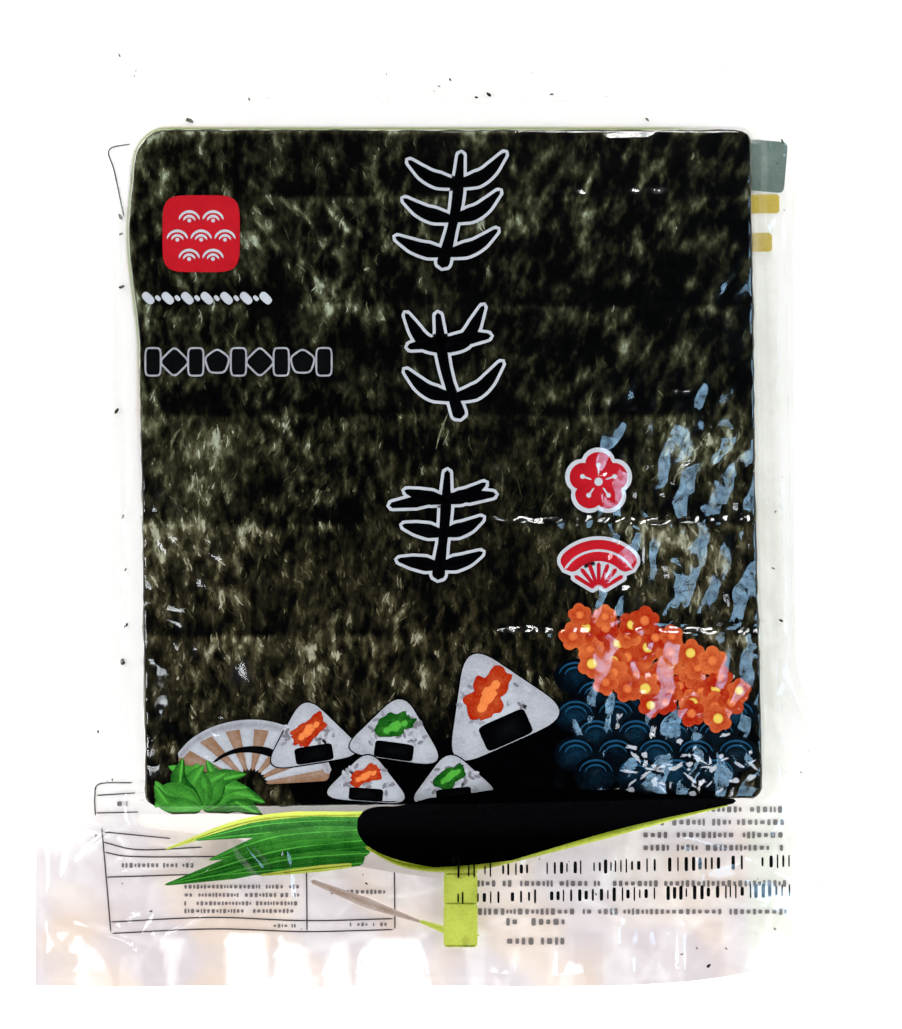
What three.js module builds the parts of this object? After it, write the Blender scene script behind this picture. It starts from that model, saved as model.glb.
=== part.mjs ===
import * as THREE from 'three';

// A sealed clear film bag that holds a stack of toasted nori sheets, lying on its back.
// Millimetres. +X runs across the bag, +Y towards its top edge, +Z up from the table.
// The bag can't be seen into from outside its film, so the whole pack is one solid:
// a low block where the sheets lie, shoulders of film that slope down from it, and
// thin empty margins with the folds and waves that stand proud of them.

// The stack of sheets, which lie a little out of line. Each side is a row of
// [y, x] points and the foot a row of [x, y] points, with smooth swings between.
const STACK_THICKNESS = 15;
const STACK_LEFT = [[-89.5, -94], [-20, -95], [50, -96.3], [88, -99.8], [119.4, -97.6]];
const STACK_RIGHT = [[-89.5, 95.7], [30, 93.9], [119.4, 92.9]];
const STACK_FOOT = [[-95, -90.2], [0, -89.2], [95, -87.4]];
const STACK_TOP = 119.4;
const STACK_MIDDLE = { x: -1.2, y: 15.2 };
const CORNER_RADIUS = 3.5;
const TOP_LEFT_CORNER_RADIUS = 9;

// The film: its outline, narrow beside the stack and full width at the empty flap.
const BAG_LENGTH = 295;
const FLAP_HALF_WIDTH = 130.5;
const WAIST_LEFT = 107;
const WAIST_RIGHT = 109;
const WAIST_STARTS_AT = -102;
const WAIST_ENDS_AT = -42;
const TOP_FLARE = 3;
const TOP_FLARE_STARTS_AT = 112;
const CORNER_RISE = 8;
const CORNER_RISE_STARTS_AT = 48;
const MARGIN_THICKNESS = 1.2;

// How far the film takes to come down from the stack to the table on each side.
const SIDE_RUN = 9;
const HEAD_RUN = 15;
const FOOT_RUN = 19;
const FALL_POWER = 2.1;
const SHOULDER_WIDTH = 4;
const SHOULDER_DROP = 0.9;

// Folds: each runs between two points, with its half width and height.
const FOLDS = [
  { name: 'right pleat', from: [101.5, 84], to: [104.5, -42], halfWidth: 4.2, height: 7.5 },
  { name: 'right heel', from: [100, -66], to: [116, -86], halfWidth: 4.5, height: 5 },
  { name: 'left heel', from: [-101, -50], to: [-119, -66], halfWidth: 4, height: 5 },
  { name: 'left toe', from: [-104, -84], to: [-117, -62], halfWidth: 3.5, height: 4 },
  { name: 'flap crease', from: [-72, -95], to: [-58, -113], halfWidth: 4, height: 2.6 },
  { name: 'flap ridge', from: [62, -104], to: [112, -128], halfWidth: 10, height: 2.4 },
];

// Lobes: arched waves that stand up along the flap's lower edge.
const LOBES = [
  { x: -63.5, halfWidth: 6, reach: 17, height: 3.4 },
  { x: -44, halfWidth: 11, reach: 18, height: 4.2 },
  { x: -18.5, halfWidth: 11, reach: 17, height: 4.4 },
  { x: 26, halfWidth: 16, reach: 14, height: 2.6 },
  { x: -102, halfWidth: 18, reach: 16, height: 2.4 },
  { x: 84, halfWidth: 20, reach: 15, height: 2.8 },
];

// The grid that the upper face is worked out on: columns left, over and right of
// the stack, and rows below, over and above it.
const COLUMNS = [10, 42, 12];
const ROWS = [22, 14, 9];
const SEAT_HALF_WIDTH = 80;
const SEAT_HALF_LENGTH = 85;

const { clamp, lerp, smoothstep } = THREE.MathUtils;

// The value at a place along a row of [place, value] points.
function swing(points, place) {
  let value = points[0][1];
  for (let index = 1; index < points.length; index += 1) {
    const [before, from] = points[index - 1];
    const [after, to] = points[index];
    value += (to - from) * smoothstep(place, before, after);
  }
  return value;
}

const stackLeft = (y) => swing(STACK_LEFT, y);
const stackRight = (y) => swing(STACK_RIGHT, y);
const stackFoot = (x) => swing(STACK_FOOT, x);

// Half the bag's width at y on a side whose waist is given.
function edgeDistance(y, waist) {
  const toWaist = smoothstep(y, WAIST_STARTS_AT, WAIST_ENDS_AT);
  const flare = TOP_FLARE * smoothstep(y, TOP_FLARE_STARTS_AT, BAG_LENGTH / 2);
  return lerp(FLAP_HALF_WIDTH, waist, toWaist) + flare;
}

const bagLeft = (y) => -edgeDistance(y, WAIST_LEFT);
const bagRight = (y) => edgeDistance(y, WAIST_RIGHT);
const bagFoot = (x) => -BAG_LENGTH / 2 + CORNER_RISE * smoothstep(x, CORNER_RISE_STARTS_AT, FLAP_HALF_WIDTH);

// A place between four stops, for grid line `index` of lines shared out by `counts`.
function alongStops(index, counts, stops) {
  let left = index;
  for (let zone = 0; zone < counts.length; zone += 1) {
    if (left <= counts[zone]) {
      return lerp(stops[zone], stops[zone + 1], left / counts[zone]);
    }
    left -= counts[zone];
  }
  return stops[counts.length];
}

// How far a point is outside the stack's outline with its round corners, and how
// much of that way leads over the head or the foot and not over a side.
function fromStack(x, y) {
  const upper = y > STACK_MIDDLE.y;
  const radius = upper && x < STACK_MIDDLE.x ? TOP_LEFT_CORNER_RADIUS : CORNER_RADIUS;
  const across = Math.max(stackLeft(y) - x, x - stackRight(y)) + radius;
  const along = Math.max(y - STACK_TOP, stackFoot(x) - y) + radius;
  const corner = Math.hypot(Math.max(across, 0), Math.max(along, 0));
  return {
    outside: corner + Math.min(Math.max(across, along), 0) - radius,
    lengthwise: corner > 0 ? (Math.max(along, 0) / corner) ** 2 : 0,
    endRun: upper ? HEAD_RUN : FOOT_RUN,
  };
}

// The film's fall from the block: 1 on the stack and 0 where it reaches the margin.
function blockShare(x, y) {
  const { outside, lengthwise, endRun } = fromStack(x, y);
  const run = lerp(SIDE_RUN, endRun, lengthwise);
  return clamp(1 - Math.max(outside, 0) / run, 0, 1) ** FALL_POWER;
}

// The stack's top edge is rounded: it drops towards its rim over the shoulder.
function shoulderDrop(x, y) {
  const inside = clamp(-fromStack(x, y).outside / SHOULDER_WIDTH, 0, 1);
  return SHOULDER_DROP * (1 - inside) ** 2;
}

// A fold's height over a point: a round ridge that fades out at both its ends.
function foldHeight(fold, x, y) {
  const runX = fold.to[0] - fold.from[0];
  const runY = fold.to[1] - fold.from[1];
  const length = Math.hypot(runX, runY);
  const along = ((x - fold.from[0]) * runX + (y - fold.from[1]) * runY) / length;
  const aside = ((x - fold.from[0]) * runY - (y - fold.from[1]) * runX) / length;
  const endFade = smoothstep(along, -fold.halfWidth, fold.halfWidth)
    * smoothstep(length - along, -fold.halfWidth, fold.halfWidth);
  const section = Math.max(0, 1 - (aside / fold.halfWidth) ** 2);
  return fold.height * endFade * section;
}

// A lobe's height over a point: an arch at the lower edge that fades upwards.
function lobeHeight(lobe, x, y) {
  const arch = Math.max(0, 1 - ((x - lobe.x) / lobe.halfWidth) ** 2);
  const rise = clamp(1 - (y - bagFoot(x)) / lobe.reach, 0, 1);
  return lobe.height * arch * rise;
}

// The upper face of the pack.
function topHeight(x, y) {
  const share = blockShare(x, y);
  const block = STACK_THICKNESS - shoulderDrop(x, y);
  const folds = FOLDS.reduce((tallest, fold) => Math.max(tallest, foldHeight(fold, x, y)), 0);
  const lobes = LOBES.reduce((tallest, lobe) => Math.max(tallest, lobeHeight(lobe, x, y)), 0);
  const margin = MARGIN_THICKNESS + Math.max(folds, lobes);
  return Math.max(lerp(MARGIN_THICKNESS, block, share), margin);
}

// Grid point (column, row) of the upper face.
function topPoint(column, row) {
  const middle = STACK_MIDDLE.y;
  const columnStops = [bagLeft(middle), stackLeft(middle), stackRight(middle), bagRight(middle)];
  const nominalX = alongStops(column, COLUMNS, columnStops);
  const y = alongStops(row, ROWS, [bagFoot(nominalX), stackFoot(nominalX), STACK_TOP, BAG_LENGTH / 2]);
  const x = alongStops(column, COLUMNS, [bagLeft(y), stackLeft(y), stackRight(y), bagRight(y)]);
  return new THREE.Vector3(x, y, topHeight(x, y));
}

// A closed solid: the upper face on the grid, an upright rim, and a flat underside
// that is one large seat with a ring of triangles out to the rim.
function bagGeometry() {
  const columnCount = COLUMNS.reduce((sum, count) => sum + count, 0);
  const rowCount = ROWS.reduce((sum, count) => sum + count, 0);
  const points = [];
  for (let row = 0; row <= rowCount; row += 1) {
    for (let column = 0; column <= columnCount; column += 1) {
      points.push(topPoint(column, row));
    }
  }
  const at = (column, row) => row * (columnCount + 1) + column;
  const faces = [];
  for (let row = 0; row < rowCount; row += 1) {
    for (let column = 0; column < columnCount; column += 1) {
      const near = at(column, row);
      const far = at(column + 1, row + 1);
      faces.push([near, at(column + 1, row), far]);
      faces.push([near, far, at(column, row + 1)]);
    }
  }

  // The rim, counter-clockwise seen from above.
  const rim = [];
  for (let column = 0; column < columnCount; column += 1) rim.push(at(column, 0));
  for (let row = 0; row < rowCount; row += 1) rim.push(at(columnCount, row));
  for (let column = columnCount; column > 0; column -= 1) rim.push(at(column, rowCount));
  for (let row = rowCount; row > 0; row -= 1) rim.push(at(0, row));
  const floorRim = rim.map((index) => {
    points.push(new THREE.Vector3(points[index].x, points[index].y, 0));
    return points.length - 1;
  });
  for (let step = 0; step < rim.length; step += 1) {
    const next = (step + 1) % rim.length;
    faces.push([rim[step], floorRim[step], floorRim[next]]);
    faces.push([rim[step], floorRim[next], rim[next]]);
  }

  // The underside, facing down.
  const seat = [[-1, -1], [1, -1], [1, 1], [-1, 1]].map(([sideX, sideY]) => {
    points.push(new THREE.Vector3(sideX * SEAT_HALF_WIDTH, sideY * SEAT_HALF_LENGTH, 0));
    return points.length - 1;
  });
  faces.push([seat[0], seat[2], seat[1]]);
  faces.push([seat[0], seat[3], seat[2]]);
  const flat = (index) => new THREE.Vector2(points[index].x, points[index].y);
  const ring = [...floorRim, ...seat];
  for (const [a, b, c] of THREE.ShapeUtils.triangulateShape(floorRim.map(flat), [seat.map(flat)])) {
    const turn = flat(ring[b]).sub(flat(ring[a])).cross(flat(ring[c]).sub(flat(ring[a])));
    faces.push(turn > 0 ? [ring[a], ring[c], ring[b]] : [ring[a], ring[b], ring[c]]);
  }

  const geometry = new THREE.BufferGeometry();
  geometry.setAttribute('position', new THREE.Float32BufferAttribute(points.flatMap((p) => [p.x, p.y, p.z]), 3));
  geometry.setIndex(faces.flat());
  geometry.computeVertexNormals();
  return geometry;
}

const filmMaterial = new THREE.MeshStandardMaterial({
  color: '#2b2f26',
  roughness: 0.25,
  metalness: 0,
});

const filmBag = new THREE.Mesh(bagGeometry(), filmMaterial);
filmBag.name = 'film_bag';

const group = new THREE.Group();
group.add(filmBag);

export default group;
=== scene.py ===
"""A sealed clear film bag of toasted nori sheets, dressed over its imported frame.

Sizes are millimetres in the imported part's own frame: +X runs across the bag, +Y
towards its top edge and +Z up from the table. They become metres once, when a mesh
is made.
"""

from __future__ import annotations

import logging
import math
from collections.abc import Callable, Sequence
from dataclasses import dataclass, field
from enum import Enum

import bpy
import numpy as np
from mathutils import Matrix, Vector

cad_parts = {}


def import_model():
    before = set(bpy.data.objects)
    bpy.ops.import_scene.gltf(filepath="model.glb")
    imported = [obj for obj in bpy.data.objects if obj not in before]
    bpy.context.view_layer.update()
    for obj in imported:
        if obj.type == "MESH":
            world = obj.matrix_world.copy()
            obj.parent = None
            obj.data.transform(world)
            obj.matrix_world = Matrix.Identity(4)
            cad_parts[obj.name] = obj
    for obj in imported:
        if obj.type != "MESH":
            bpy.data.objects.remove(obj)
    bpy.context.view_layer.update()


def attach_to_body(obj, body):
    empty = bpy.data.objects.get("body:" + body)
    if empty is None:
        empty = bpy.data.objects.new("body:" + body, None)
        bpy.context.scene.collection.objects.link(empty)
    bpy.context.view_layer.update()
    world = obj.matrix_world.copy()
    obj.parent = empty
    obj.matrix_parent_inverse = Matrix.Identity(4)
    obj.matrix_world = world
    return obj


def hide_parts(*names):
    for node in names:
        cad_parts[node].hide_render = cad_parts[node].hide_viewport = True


Array = np.ndarray
Point = tuple[float, float]
Outline = Callable[[Array], Array]
Surface = Callable[[Array, Array], Array]
Pair = tuple[Array, Array]
Counts = tuple[int, int, int]
Socket = bpy.types.NodeSocket
Material = bpy.types.Material
Item = bpy.types.Object
LOG = logging.getLogger("nori_bag")
MM = 0.001
BODY = "root"
NODE = "film_bag"
GOLDEN_ANGLE = 2.39996


# ---- Small functions of whole arrays ----


def smoothstep(value: Array, low: float, high: float) -> Array:
    """Rises from 0 at low to 1 at high as 3t² - 2t³ of the clamped share t."""
    share = np.clip((value - low) / (high - low), 0, 1)
    return share * share * (3.0 - 2.0 * share)


def window(value: Array, low: float, high: float, soft: float) -> Array:
    """1 between low and high, falling to 0 within soft millimetres outside them."""
    return smoothstep(value, low - soft, low) * smoothstep(-value, -high - soft, -high)


def lerp(low: Array, high: Array, share: Array) -> Array:
    """The value a share of the way from low to high."""
    return low + (high - low) * share


def swing(points: Sequence[Point], place: Array) -> Array:
    """The value along a row of (place, value) points, with a smoothstep between two.

    Args:
        points: The row, by rising place.
        place: Where to read it.

    Returns:
        The value at each place.
    """
    value = points[0][1] + np.zeros(np.shape(place))
    for (before, start), (after, end) in zip(points[:-1], points[1:]):
        value = value + (end - start) * smoothstep(place, before, after)
    return value


def between_stops(stops: Sequence[Array], place: Array) -> Array:
    """Walks along a chain of stops.

    The formula is the first stop plus, for each stretch, its length times the part of
    it that the place has passed, so place 1.5 is half way from stop 1 to stop 2.

    Args:
        stops: The stops, each a number or an array like place.
        place: Where to stand, from 0 to one less than the number of stops.

    Returns:
        The value at each place.
    """
    value = stops[0] + np.zeros(np.shape(place))
    for index, (low, high) in enumerate(zip(stops[:-1], stops[1:])):
        value = value + (high - low) * np.clip(place - index, 0, 1)
    return value


@dataclass(frozen=True)
class Noise:
    """Smooth random relief between about -1 and 1.

    Gradient noise: each corner of a square lattice holds a direction, and the value
    is the smooth blend of the four corners' products of direction and offset. Each
    octave has cells of half the size and counts half as much.
    """

    cell: float
    seed: int
    octaves: int = 1
    stretch: Point = (1, 1)

    def at(self, x: Array, y: Array) -> Array:
        """The relief over plan points x, y in millimetres.

        Args:
            x: Plan places across.
            y: Plan places along.

        Returns:
            The relief.
        """
        rng = np.random.default_rng(self.seed)
        order = rng.permutation(256)
        turn = rng.uniform(0, 2.0 * math.pi, 256)
        total = np.zeros(np.broadcast(x, y).shape)
        for octave in range(self.octaves):
            cell = self.cell * 0.5**octave
            across = x / (cell * self.stretch[0]) + 37.7 * octave
            along = y / (cell * self.stretch[1]) + 37.7 * octave
            total += 0.5**octave * self._blend(across, along, order, turn)
        return 1.5 * total

    @staticmethod
    def _blend(x: Array, y: Array, order: Array, turn: Array) -> Array:
        """One octave on unit cells.

        Args:
            x: Places across, in cells.
            y: Places along.
            order: The shuffled numbers that pick a corner's direction.
            turn: The directions, as angles.

        Returns:
            The octave's relief.
        """
        left = np.floor(x).astype(int)
        low = np.floor(y).astype(int)
        away_x = x - left
        away_y = y - low

        def corner(step_x: int, step_y: int) -> Array:
            """The product of one corner's direction and the offset from it."""
            angle = turn[order[(left + step_x + order[(low + step_y) & 255]) & 255]]
            return np.cos(angle) * (away_x - step_x) + np.sin(angle) * (away_y - step_y)

        blend_x = smoothstep(away_x, 0, 1)
        lower = lerp(corner(0, 0), corner(1, 0), blend_x)
        upper = lerp(corner(0, 1), corner(1, 1), blend_x)
        return lerp(lower, upper, smoothstep(away_y, 0, 1))


@dataclass(frozen=True)
class Crumple:
    """Flat facets with sharp creases between them, between about -1 and 1.

    The sum of a few triangle waves, each along its own direction and bent a little by
    noise. Each wave's height goes with its length, so all facets slope alike.
    """

    pitch: float
    seed: int
    waves: int = 6
    bend: float = 0.35

    def at(self, x: Array, y: Array) -> Array:
        """The relief over plan points x, y in millimetres.

        Args:
            x: Plan places across.
            y: Plan places along.

        Returns:
            The relief.
        """
        rng = np.random.default_rng(self.seed)
        total = np.zeros(np.broadcast(x, y).shape)
        for wave in range(self.waves):
            angle = rng.uniform(0, math.pi)
            length = self.pitch * rng.uniform(0.6, 1.9)
            bent = self.bend * Noise(2.2 * self.pitch, self.seed + wave).at(x, y)
            place = (x * math.cos(angle) + y * math.sin(angle)) / length + bent + rng.uniform()
            total += (4.0 * np.abs(place % 1.0 - 0.5) - 1) * length / self.pitch
        return total / self.waves**0.5


def points_of(x: Array, y: Array, height: Array | float) -> Array:
    """Points with a last axis of 3, from plan places and a height."""
    return np.stack(np.broadcast_arrays(x, y, height), axis=-1)


def smooth_path(points: Sequence[Point], samples: int) -> Array:
    """A curve through a few points.

    Each stretch is a Catmull-Rom cubic, whose slope at a point is half the step from
    the point before it to the point after it.

    Args:
        points: The points that the curve passes, at least two.
        samples: How many places along it to work out.

    Returns:
        An array of samples rows and 2 columns.
    """
    through = np.asarray(points, float)
    padded = np.vstack([2 * through[0] - through[1], through, 2 * through[-1] - through[-2]])
    place = np.linspace(0, len(through) - 1, samples)
    stretch = np.minimum(place.astype(int), len(through) - 2)
    t = (place - stretch)[:, None]
    before, start, end, after = (padded[stretch + step] for step in range(4))
    return 0.5 * (
        2 * start
        + (end - before) * t
        + (2 * before - 5 * start + 4 * end - after) * t**2
        + (3 * start - before - 3 * end + after) * t**3
    )


def arc(centre: Point, radii: Point, first: float, last: float, count: int) -> list[Point]:
    """Points along an oval arc: the middle plus radii times an angle's cosine and sine.

    Args:
        centre: The oval's middle.
        radii: Half its width and half its height.
        first: The first point's angle, in degrees from +X.
        last: The last point's angle.
        count: How many points, at even angles.

    Returns:
        The points.
    """
    angles = np.radians(np.linspace(first, last, count))
    return [(centre[0] + radii[0] * math.cos(a), centre[1] + radii[1] * math.sin(a)) for a in angles]


def turned(at: Sequence[Array], along: Array, across: Array, angle: Array) -> Pair:
    """Offsets turned by an angle and set at a place.

    Args:
        at: The x and the y of the place.
        along: The offset along the thing's own first direction.
        across: The offset a quarter turn further round.
        angle: How far it is turned, in radians.

    Returns:
        The x and the y of each point.
    """
    cosine, sine = np.cos(angle), np.sin(angle)
    return at[0] + along * cosine - across * sine, at[1] + along * sine + across * cosine


# ---- Meshes from grids ----


class MeshParts:
    """Collects grids of points and makes them one mesh object."""

    def __init__(self) -> None:
        """Starts with nothing in it."""
        self._points: list[Array] = []
        self._tones: list[Array] = []
        self._quads: list[Array] = []
        self._triangles: list[Array] = []
        self._count = 0

    def _store(self, points: Array, tone: Array | float) -> Array:
        """Keeps points and their tones, and gives back the points' numbers.

        Args:
            points: Points on any grid, with a last axis of 3.
            tone: Their tones.

        Returns:
            Their numbers, on the same grid.
        """
        shape = points.shape[:-1]
        self._points.append(points.reshape(-1, 3))
        self._tones.append(np.broadcast_to(tone, shape).reshape(-1))
        first = self._count
        self._count += math.prod(shape)
        return np.arange(first, self._count).reshape(shape)

    def add_grids(
        self, points: Array, tone: Array | float = 0.5, wrap: bool = False, flip: bool = False
    ) -> Array:
        """Adds one surface, or many alike, each given on a grid.

        Args:
            points: Any number of grids, each rows by columns by 3, in millimetres.
                The faces point up where columns run along +X and rows along +Y.
            tone: A number for each point, from 0 to 1, that its finish may read.
            wrap: Whether the last row joins the first one.
            flip: Whether to turn the faces over.

        Returns:
            The number of each point in the mesh.
        """
        index = self._store(points, tone)
        ring = np.concatenate([index, index[..., :1, :]], axis=-2) if wrap else index
        corners = [ring[..., :-1, :-1], ring[..., :-1, 1:], ring[..., 1:, 1:], ring[..., 1:, :-1]]
        if flip:
            corners.reverse()
        self._quads.append(np.stack(corners, axis=-1).reshape(-1, 4))
        return index

    def add_disc(self, centre: Array, rings: Array, tone: Array | float = 0.5) -> None:
        """Adds a closed disc: rows of rings run round it, columns from within outwards.

        Args:
            centre: The middle point.
            rings: The points round it.
            tone: A number for each point from 0 to 1.
        """
        index = self.add_grids(rings, tone, wrap=True)
        inner_tone = np.broadcast_to(tone, rings.shape[:2])[:, 0]
        middle = self._store(centre.reshape(1, 3), float(np.mean(inner_tone)))
        inner = index[:, 0]
        spokes = [np.full_like(inner, middle[0]), inner, np.roll(inner, -1)]
        self._triangles.append(np.stack(spokes, axis=-1))

    def build(
        self, name: str, material: Material, level: Surface | None = None
    ) -> Item:
        """Makes the object, in metres, with its place in its mesh.

        Args:
            name: The object's name.
            material: The finish of the whole piece.
            level: A surface that the piece's heights are counted from, or none.

        Returns:
            The new mesh object, linked to the scene.
        """
        points = np.concatenate(self._points)
        if level:
            points[:, 2] += level(points[:, 0], points[:, 1])
        points = points * MM
        quads = np.concatenate(self._quads)
        triangles = np.concatenate(self._triangles) if self._triangles else np.zeros((0, 3), int)
        corners = np.concatenate([quads.ravel(), triangles.ravel()])
        starts = np.concatenate([np.arange(len(quads)) * 4, quads.size + np.arange(len(triangles)) * 3])
        mesh = bpy.data.meshes.new(name)
        mesh.vertices.add(len(points))
        mesh.vertices.foreach_set("co", points.astype(np.float32).ravel())
        mesh.loops.add(len(corners))
        mesh.loops.foreach_set("vertex_index", corners.astype(np.int32))
        mesh.polygons.add(len(starts))
        mesh.polygons.foreach_set("loop_start", starts.astype(np.int32))
        mesh.polygons.foreach_set("use_smooth", np.ones(len(starts), bool))
        tone = mesh.attributes.new("tone", "FLOAT", "POINT")
        tone.data.foreach_set("value", np.concatenate(self._tones).astype(np.float32))
        mesh.update(calc_edges=True)
        mesh.validate()
        mesh.materials.append(material)
        piece = bpy.data.objects.new(name, mesh)
        bpy.context.scene.collection.objects.link(piece)
        return piece


def attach(piece: Item, slot: str) -> Item:
    """Lets a piece ride on the bag and stand for its solid, and logs its record's material slot.

    Args:
        piece: The new mesh object.
        slot: The record's material slot.

    Returns:
        The same object.
    """
    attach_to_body(piece, BODY)
    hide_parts(NODE)
    LOG.info("%s: %d faces, slot %s", piece.name, len(piece.data.polygons), slot)
    return piece


# ---- The forms: the stack's outline, and the film over it ----


@dataclass(frozen=True)
class StackPlan:
    """The stack's outline: sides as (y, x) points, foot as (x, y) points, round corners."""

    left_side: tuple[Point, ...] = (
        (-89.5, -94),
        (-20, -95),
        (50, -96.3),
        (88, -99.8),
        (119.4, -97.6),
    )
    right_side: tuple[Point, ...] = ((-89.5, 95.7), (30, 93.9), (119.4, 92.9))
    foot_line: tuple[Point, ...] = ((-95, -90.2), (0, -89.2), (95, -87.4))
    top: float = 119.4
    middle: Point = (-1.2, 15.2)
    corner_radius: float = 3.5
    top_left_corner_radius: float = 9.0

    def left(self, y: Array) -> Array:
        """The left side's x at y."""
        return swing(self.left_side, y)

    def right(self, y: Array) -> Array:
        """The right side's x at y."""
        return swing(self.right_side, y)

    def foot(self, x: Array) -> Array:
        """The lower edge's y at x."""
        return swing(self.foot_line, x)

    def radius(self, x: Array, y: Array) -> Array:
        """The radius of the corner nearest to a plan point."""
        top_left = (x < self.middle[0]) & (y > self.middle[1])
        return np.where(top_left, self.top_left_corner_radius, self.corner_radius)

    def outside(self, x: Array, y: Array) -> Pair:
        """How far points are outside the outline, and how much of it is lengthwise.

        The distance to a rectangle with round corners: the length of the part of the
        offset from the corner's centre that points outwards, less the radius.

        Args:
            x: Plan places across.
            y: Plan places along.

        Returns:
            The distance, below 0 inside, and the share from 0 over a side to 1 over
            the head or the foot.
        """
        radius = self.radius(x, y)
        across = np.maximum(self.left(y) - x, x - self.right(y)) + radius
        along = np.maximum(y - self.top, self.foot(x) - y) + radius
        corner = np.hypot(np.maximum(across, 0), np.maximum(along, 0))
        away = corner + np.minimum(np.maximum(across, along), 0) - radius
        return away, (np.maximum(along, 0) / np.maximum(corner, 1e-9)) ** 2

    def place(self, u: Array, v: Array) -> Pair:
        """The plan point a share u across the stack and v up it.

        A point in the square at a corner is drawn in towards the corner's centre by
        its larger offset over its distance, which turns the square into a quarter disc.

        Args:
            u: Shares of the way across.
            v: Shares of the way up.

        Returns:
            Its x and its y.
        """
        y = lerp(self.foot(lerp(-95, 95, u)), self.top, v)
        left, right = self.left(y), self.right(y)
        x = lerp(left, right, u)
        radius = self.radius(x, y)
        side = np.where(u < 0.5, -1, 1)
        end = np.where(v < 0.5, -1, 1)
        centre_x = np.where(u < 0.5, left + radius, right - radius)
        centre_y = np.where(v < 0.5, self.foot(x) + radius, self.top - radius)
        off_x = np.maximum(side * (x - centre_x), 0)
        off_y = np.maximum(end * (y - centre_y), 0)
        in_corner = (off_x > 0) & (off_y > 0)
        pull = np.where(in_corner, np.maximum(off_x, off_y) / np.maximum(np.hypot(off_x, off_y), 1e-9), 1)
        return x - side * off_x * (1.0 - pull), y - end * off_y * (1.0 - pull)


@dataclass(frozen=True)
class Fold:
    """A ridge of film between two points, with its half width and height."""

    start: Point
    end: Point
    half_width: float
    height: float

    def over(self, x: Array, y: Array) -> Array:
        """The ridge's height: a parabola across it, faded at both ends.

        Args:
            x: Plan places across.
            y: Plan places along.

        Returns:
            The height there.
        """
        run_x = self.end[0] - self.start[0]
        run_y = self.end[1] - self.start[1]
        length = math.hypot(run_x, run_y)
        along = ((x - self.start[0]) * run_x + (y - self.start[1]) * run_y) / length
        aside = ((x - self.start[0]) * run_y - (y - self.start[1]) * run_x) / length
        fade = window(along, self.half_width, length - self.half_width, 2.0 * self.half_width)
        return self.height * fade * np.maximum(0, 1.0 - (aside / self.half_width) ** 2)


@dataclass(frozen=True)
class Lobe:
    """An arched wave that stands up along the flap's lower edge."""

    x: float
    half_width: float
    reach: float
    height: float

    def over(self, x: Array, above_edge: Array) -> Array:
        """The arch's height: a parabola across, falling in a line up the flap."""
        arch = np.maximum(0, 1.0 - ((x - self.x) / self.half_width) ** 2)
        return self.height * arch * np.clip(1.0 - above_edge / self.reach, 0, 1)


@dataclass(frozen=True)
class Pane:
    """An upright fold at the flap's lower edge that looks clearer, or darker, than it."""

    x: float
    half_low: float
    half_high: float
    reach: float
    gain: float

    def over(self, x: Array, above_edge: Array) -> Array:
        """The gain within a slanted-sided pane with slightly soft edges.

        Args:
            x: Plan places across.
            above_edge: How far the places are above the bag's lower edge.

        Returns:
            The gain at each place.
        """
        half = lerp(self.half_low, self.half_high, np.clip(above_edge / self.reach, 0, 1))
        across = smoothstep(half - np.abs(x - self.x), -0.5, 0.5)
        return self.gain * across * smoothstep(self.reach - above_edge, -1.2, 1.2)


@dataclass(frozen=True)
class CreaseField:
    """Sharp straight wrinkles strewn over a part of the film by a seeded draw."""

    low: Point
    high: Point
    count: int
    lengths: Point
    half_widths: Point
    heights: Point
    direction: float
    spread: float
    seed: int

    def over(self, x: Array, y: Array) -> Array:
        """The wrinkles' height.

        Each wrinkle is a roof, highest on its line and straight down to its half
        width, times a bow that is 1 at the middle of its length and 0 at its ends.
        Where wrinkles cross, the higher one shows.

        Args:
            x: Plan places across.
            y: Plan places along.

        Returns:
            The height there.
        """
        rng = np.random.default_rng(self.seed)
        height = np.zeros(np.broadcast(x, y).shape)
        for _ in range(self.count):
            centre_x = rng.uniform(self.low[0], self.high[0])
            centre_y = rng.uniform(self.low[1], self.high[1])
            angle = math.radians(rng.normal(self.direction, self.spread))
            half_length = rng.uniform(*self.lengths) / 2
            half_width = rng.uniform(*self.half_widths)
            peak = rng.uniform(*self.heights)
            bend = rng.normal(0, 0.15) / half_length
            along = (x - centre_x) * math.cos(angle) + (y - centre_y) * math.sin(angle)
            aside = (y - centre_y) * math.cos(angle) - (x - centre_x) * math.sin(angle)
            roof = np.maximum(0, 1.0 - np.abs(aside - bend * along**2) / half_width)
            bow = np.maximum(0, 1.0 - (along / half_length) ** 2)
            height = np.maximum(height, peak * roof * bow**1.5)
        return height


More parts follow.
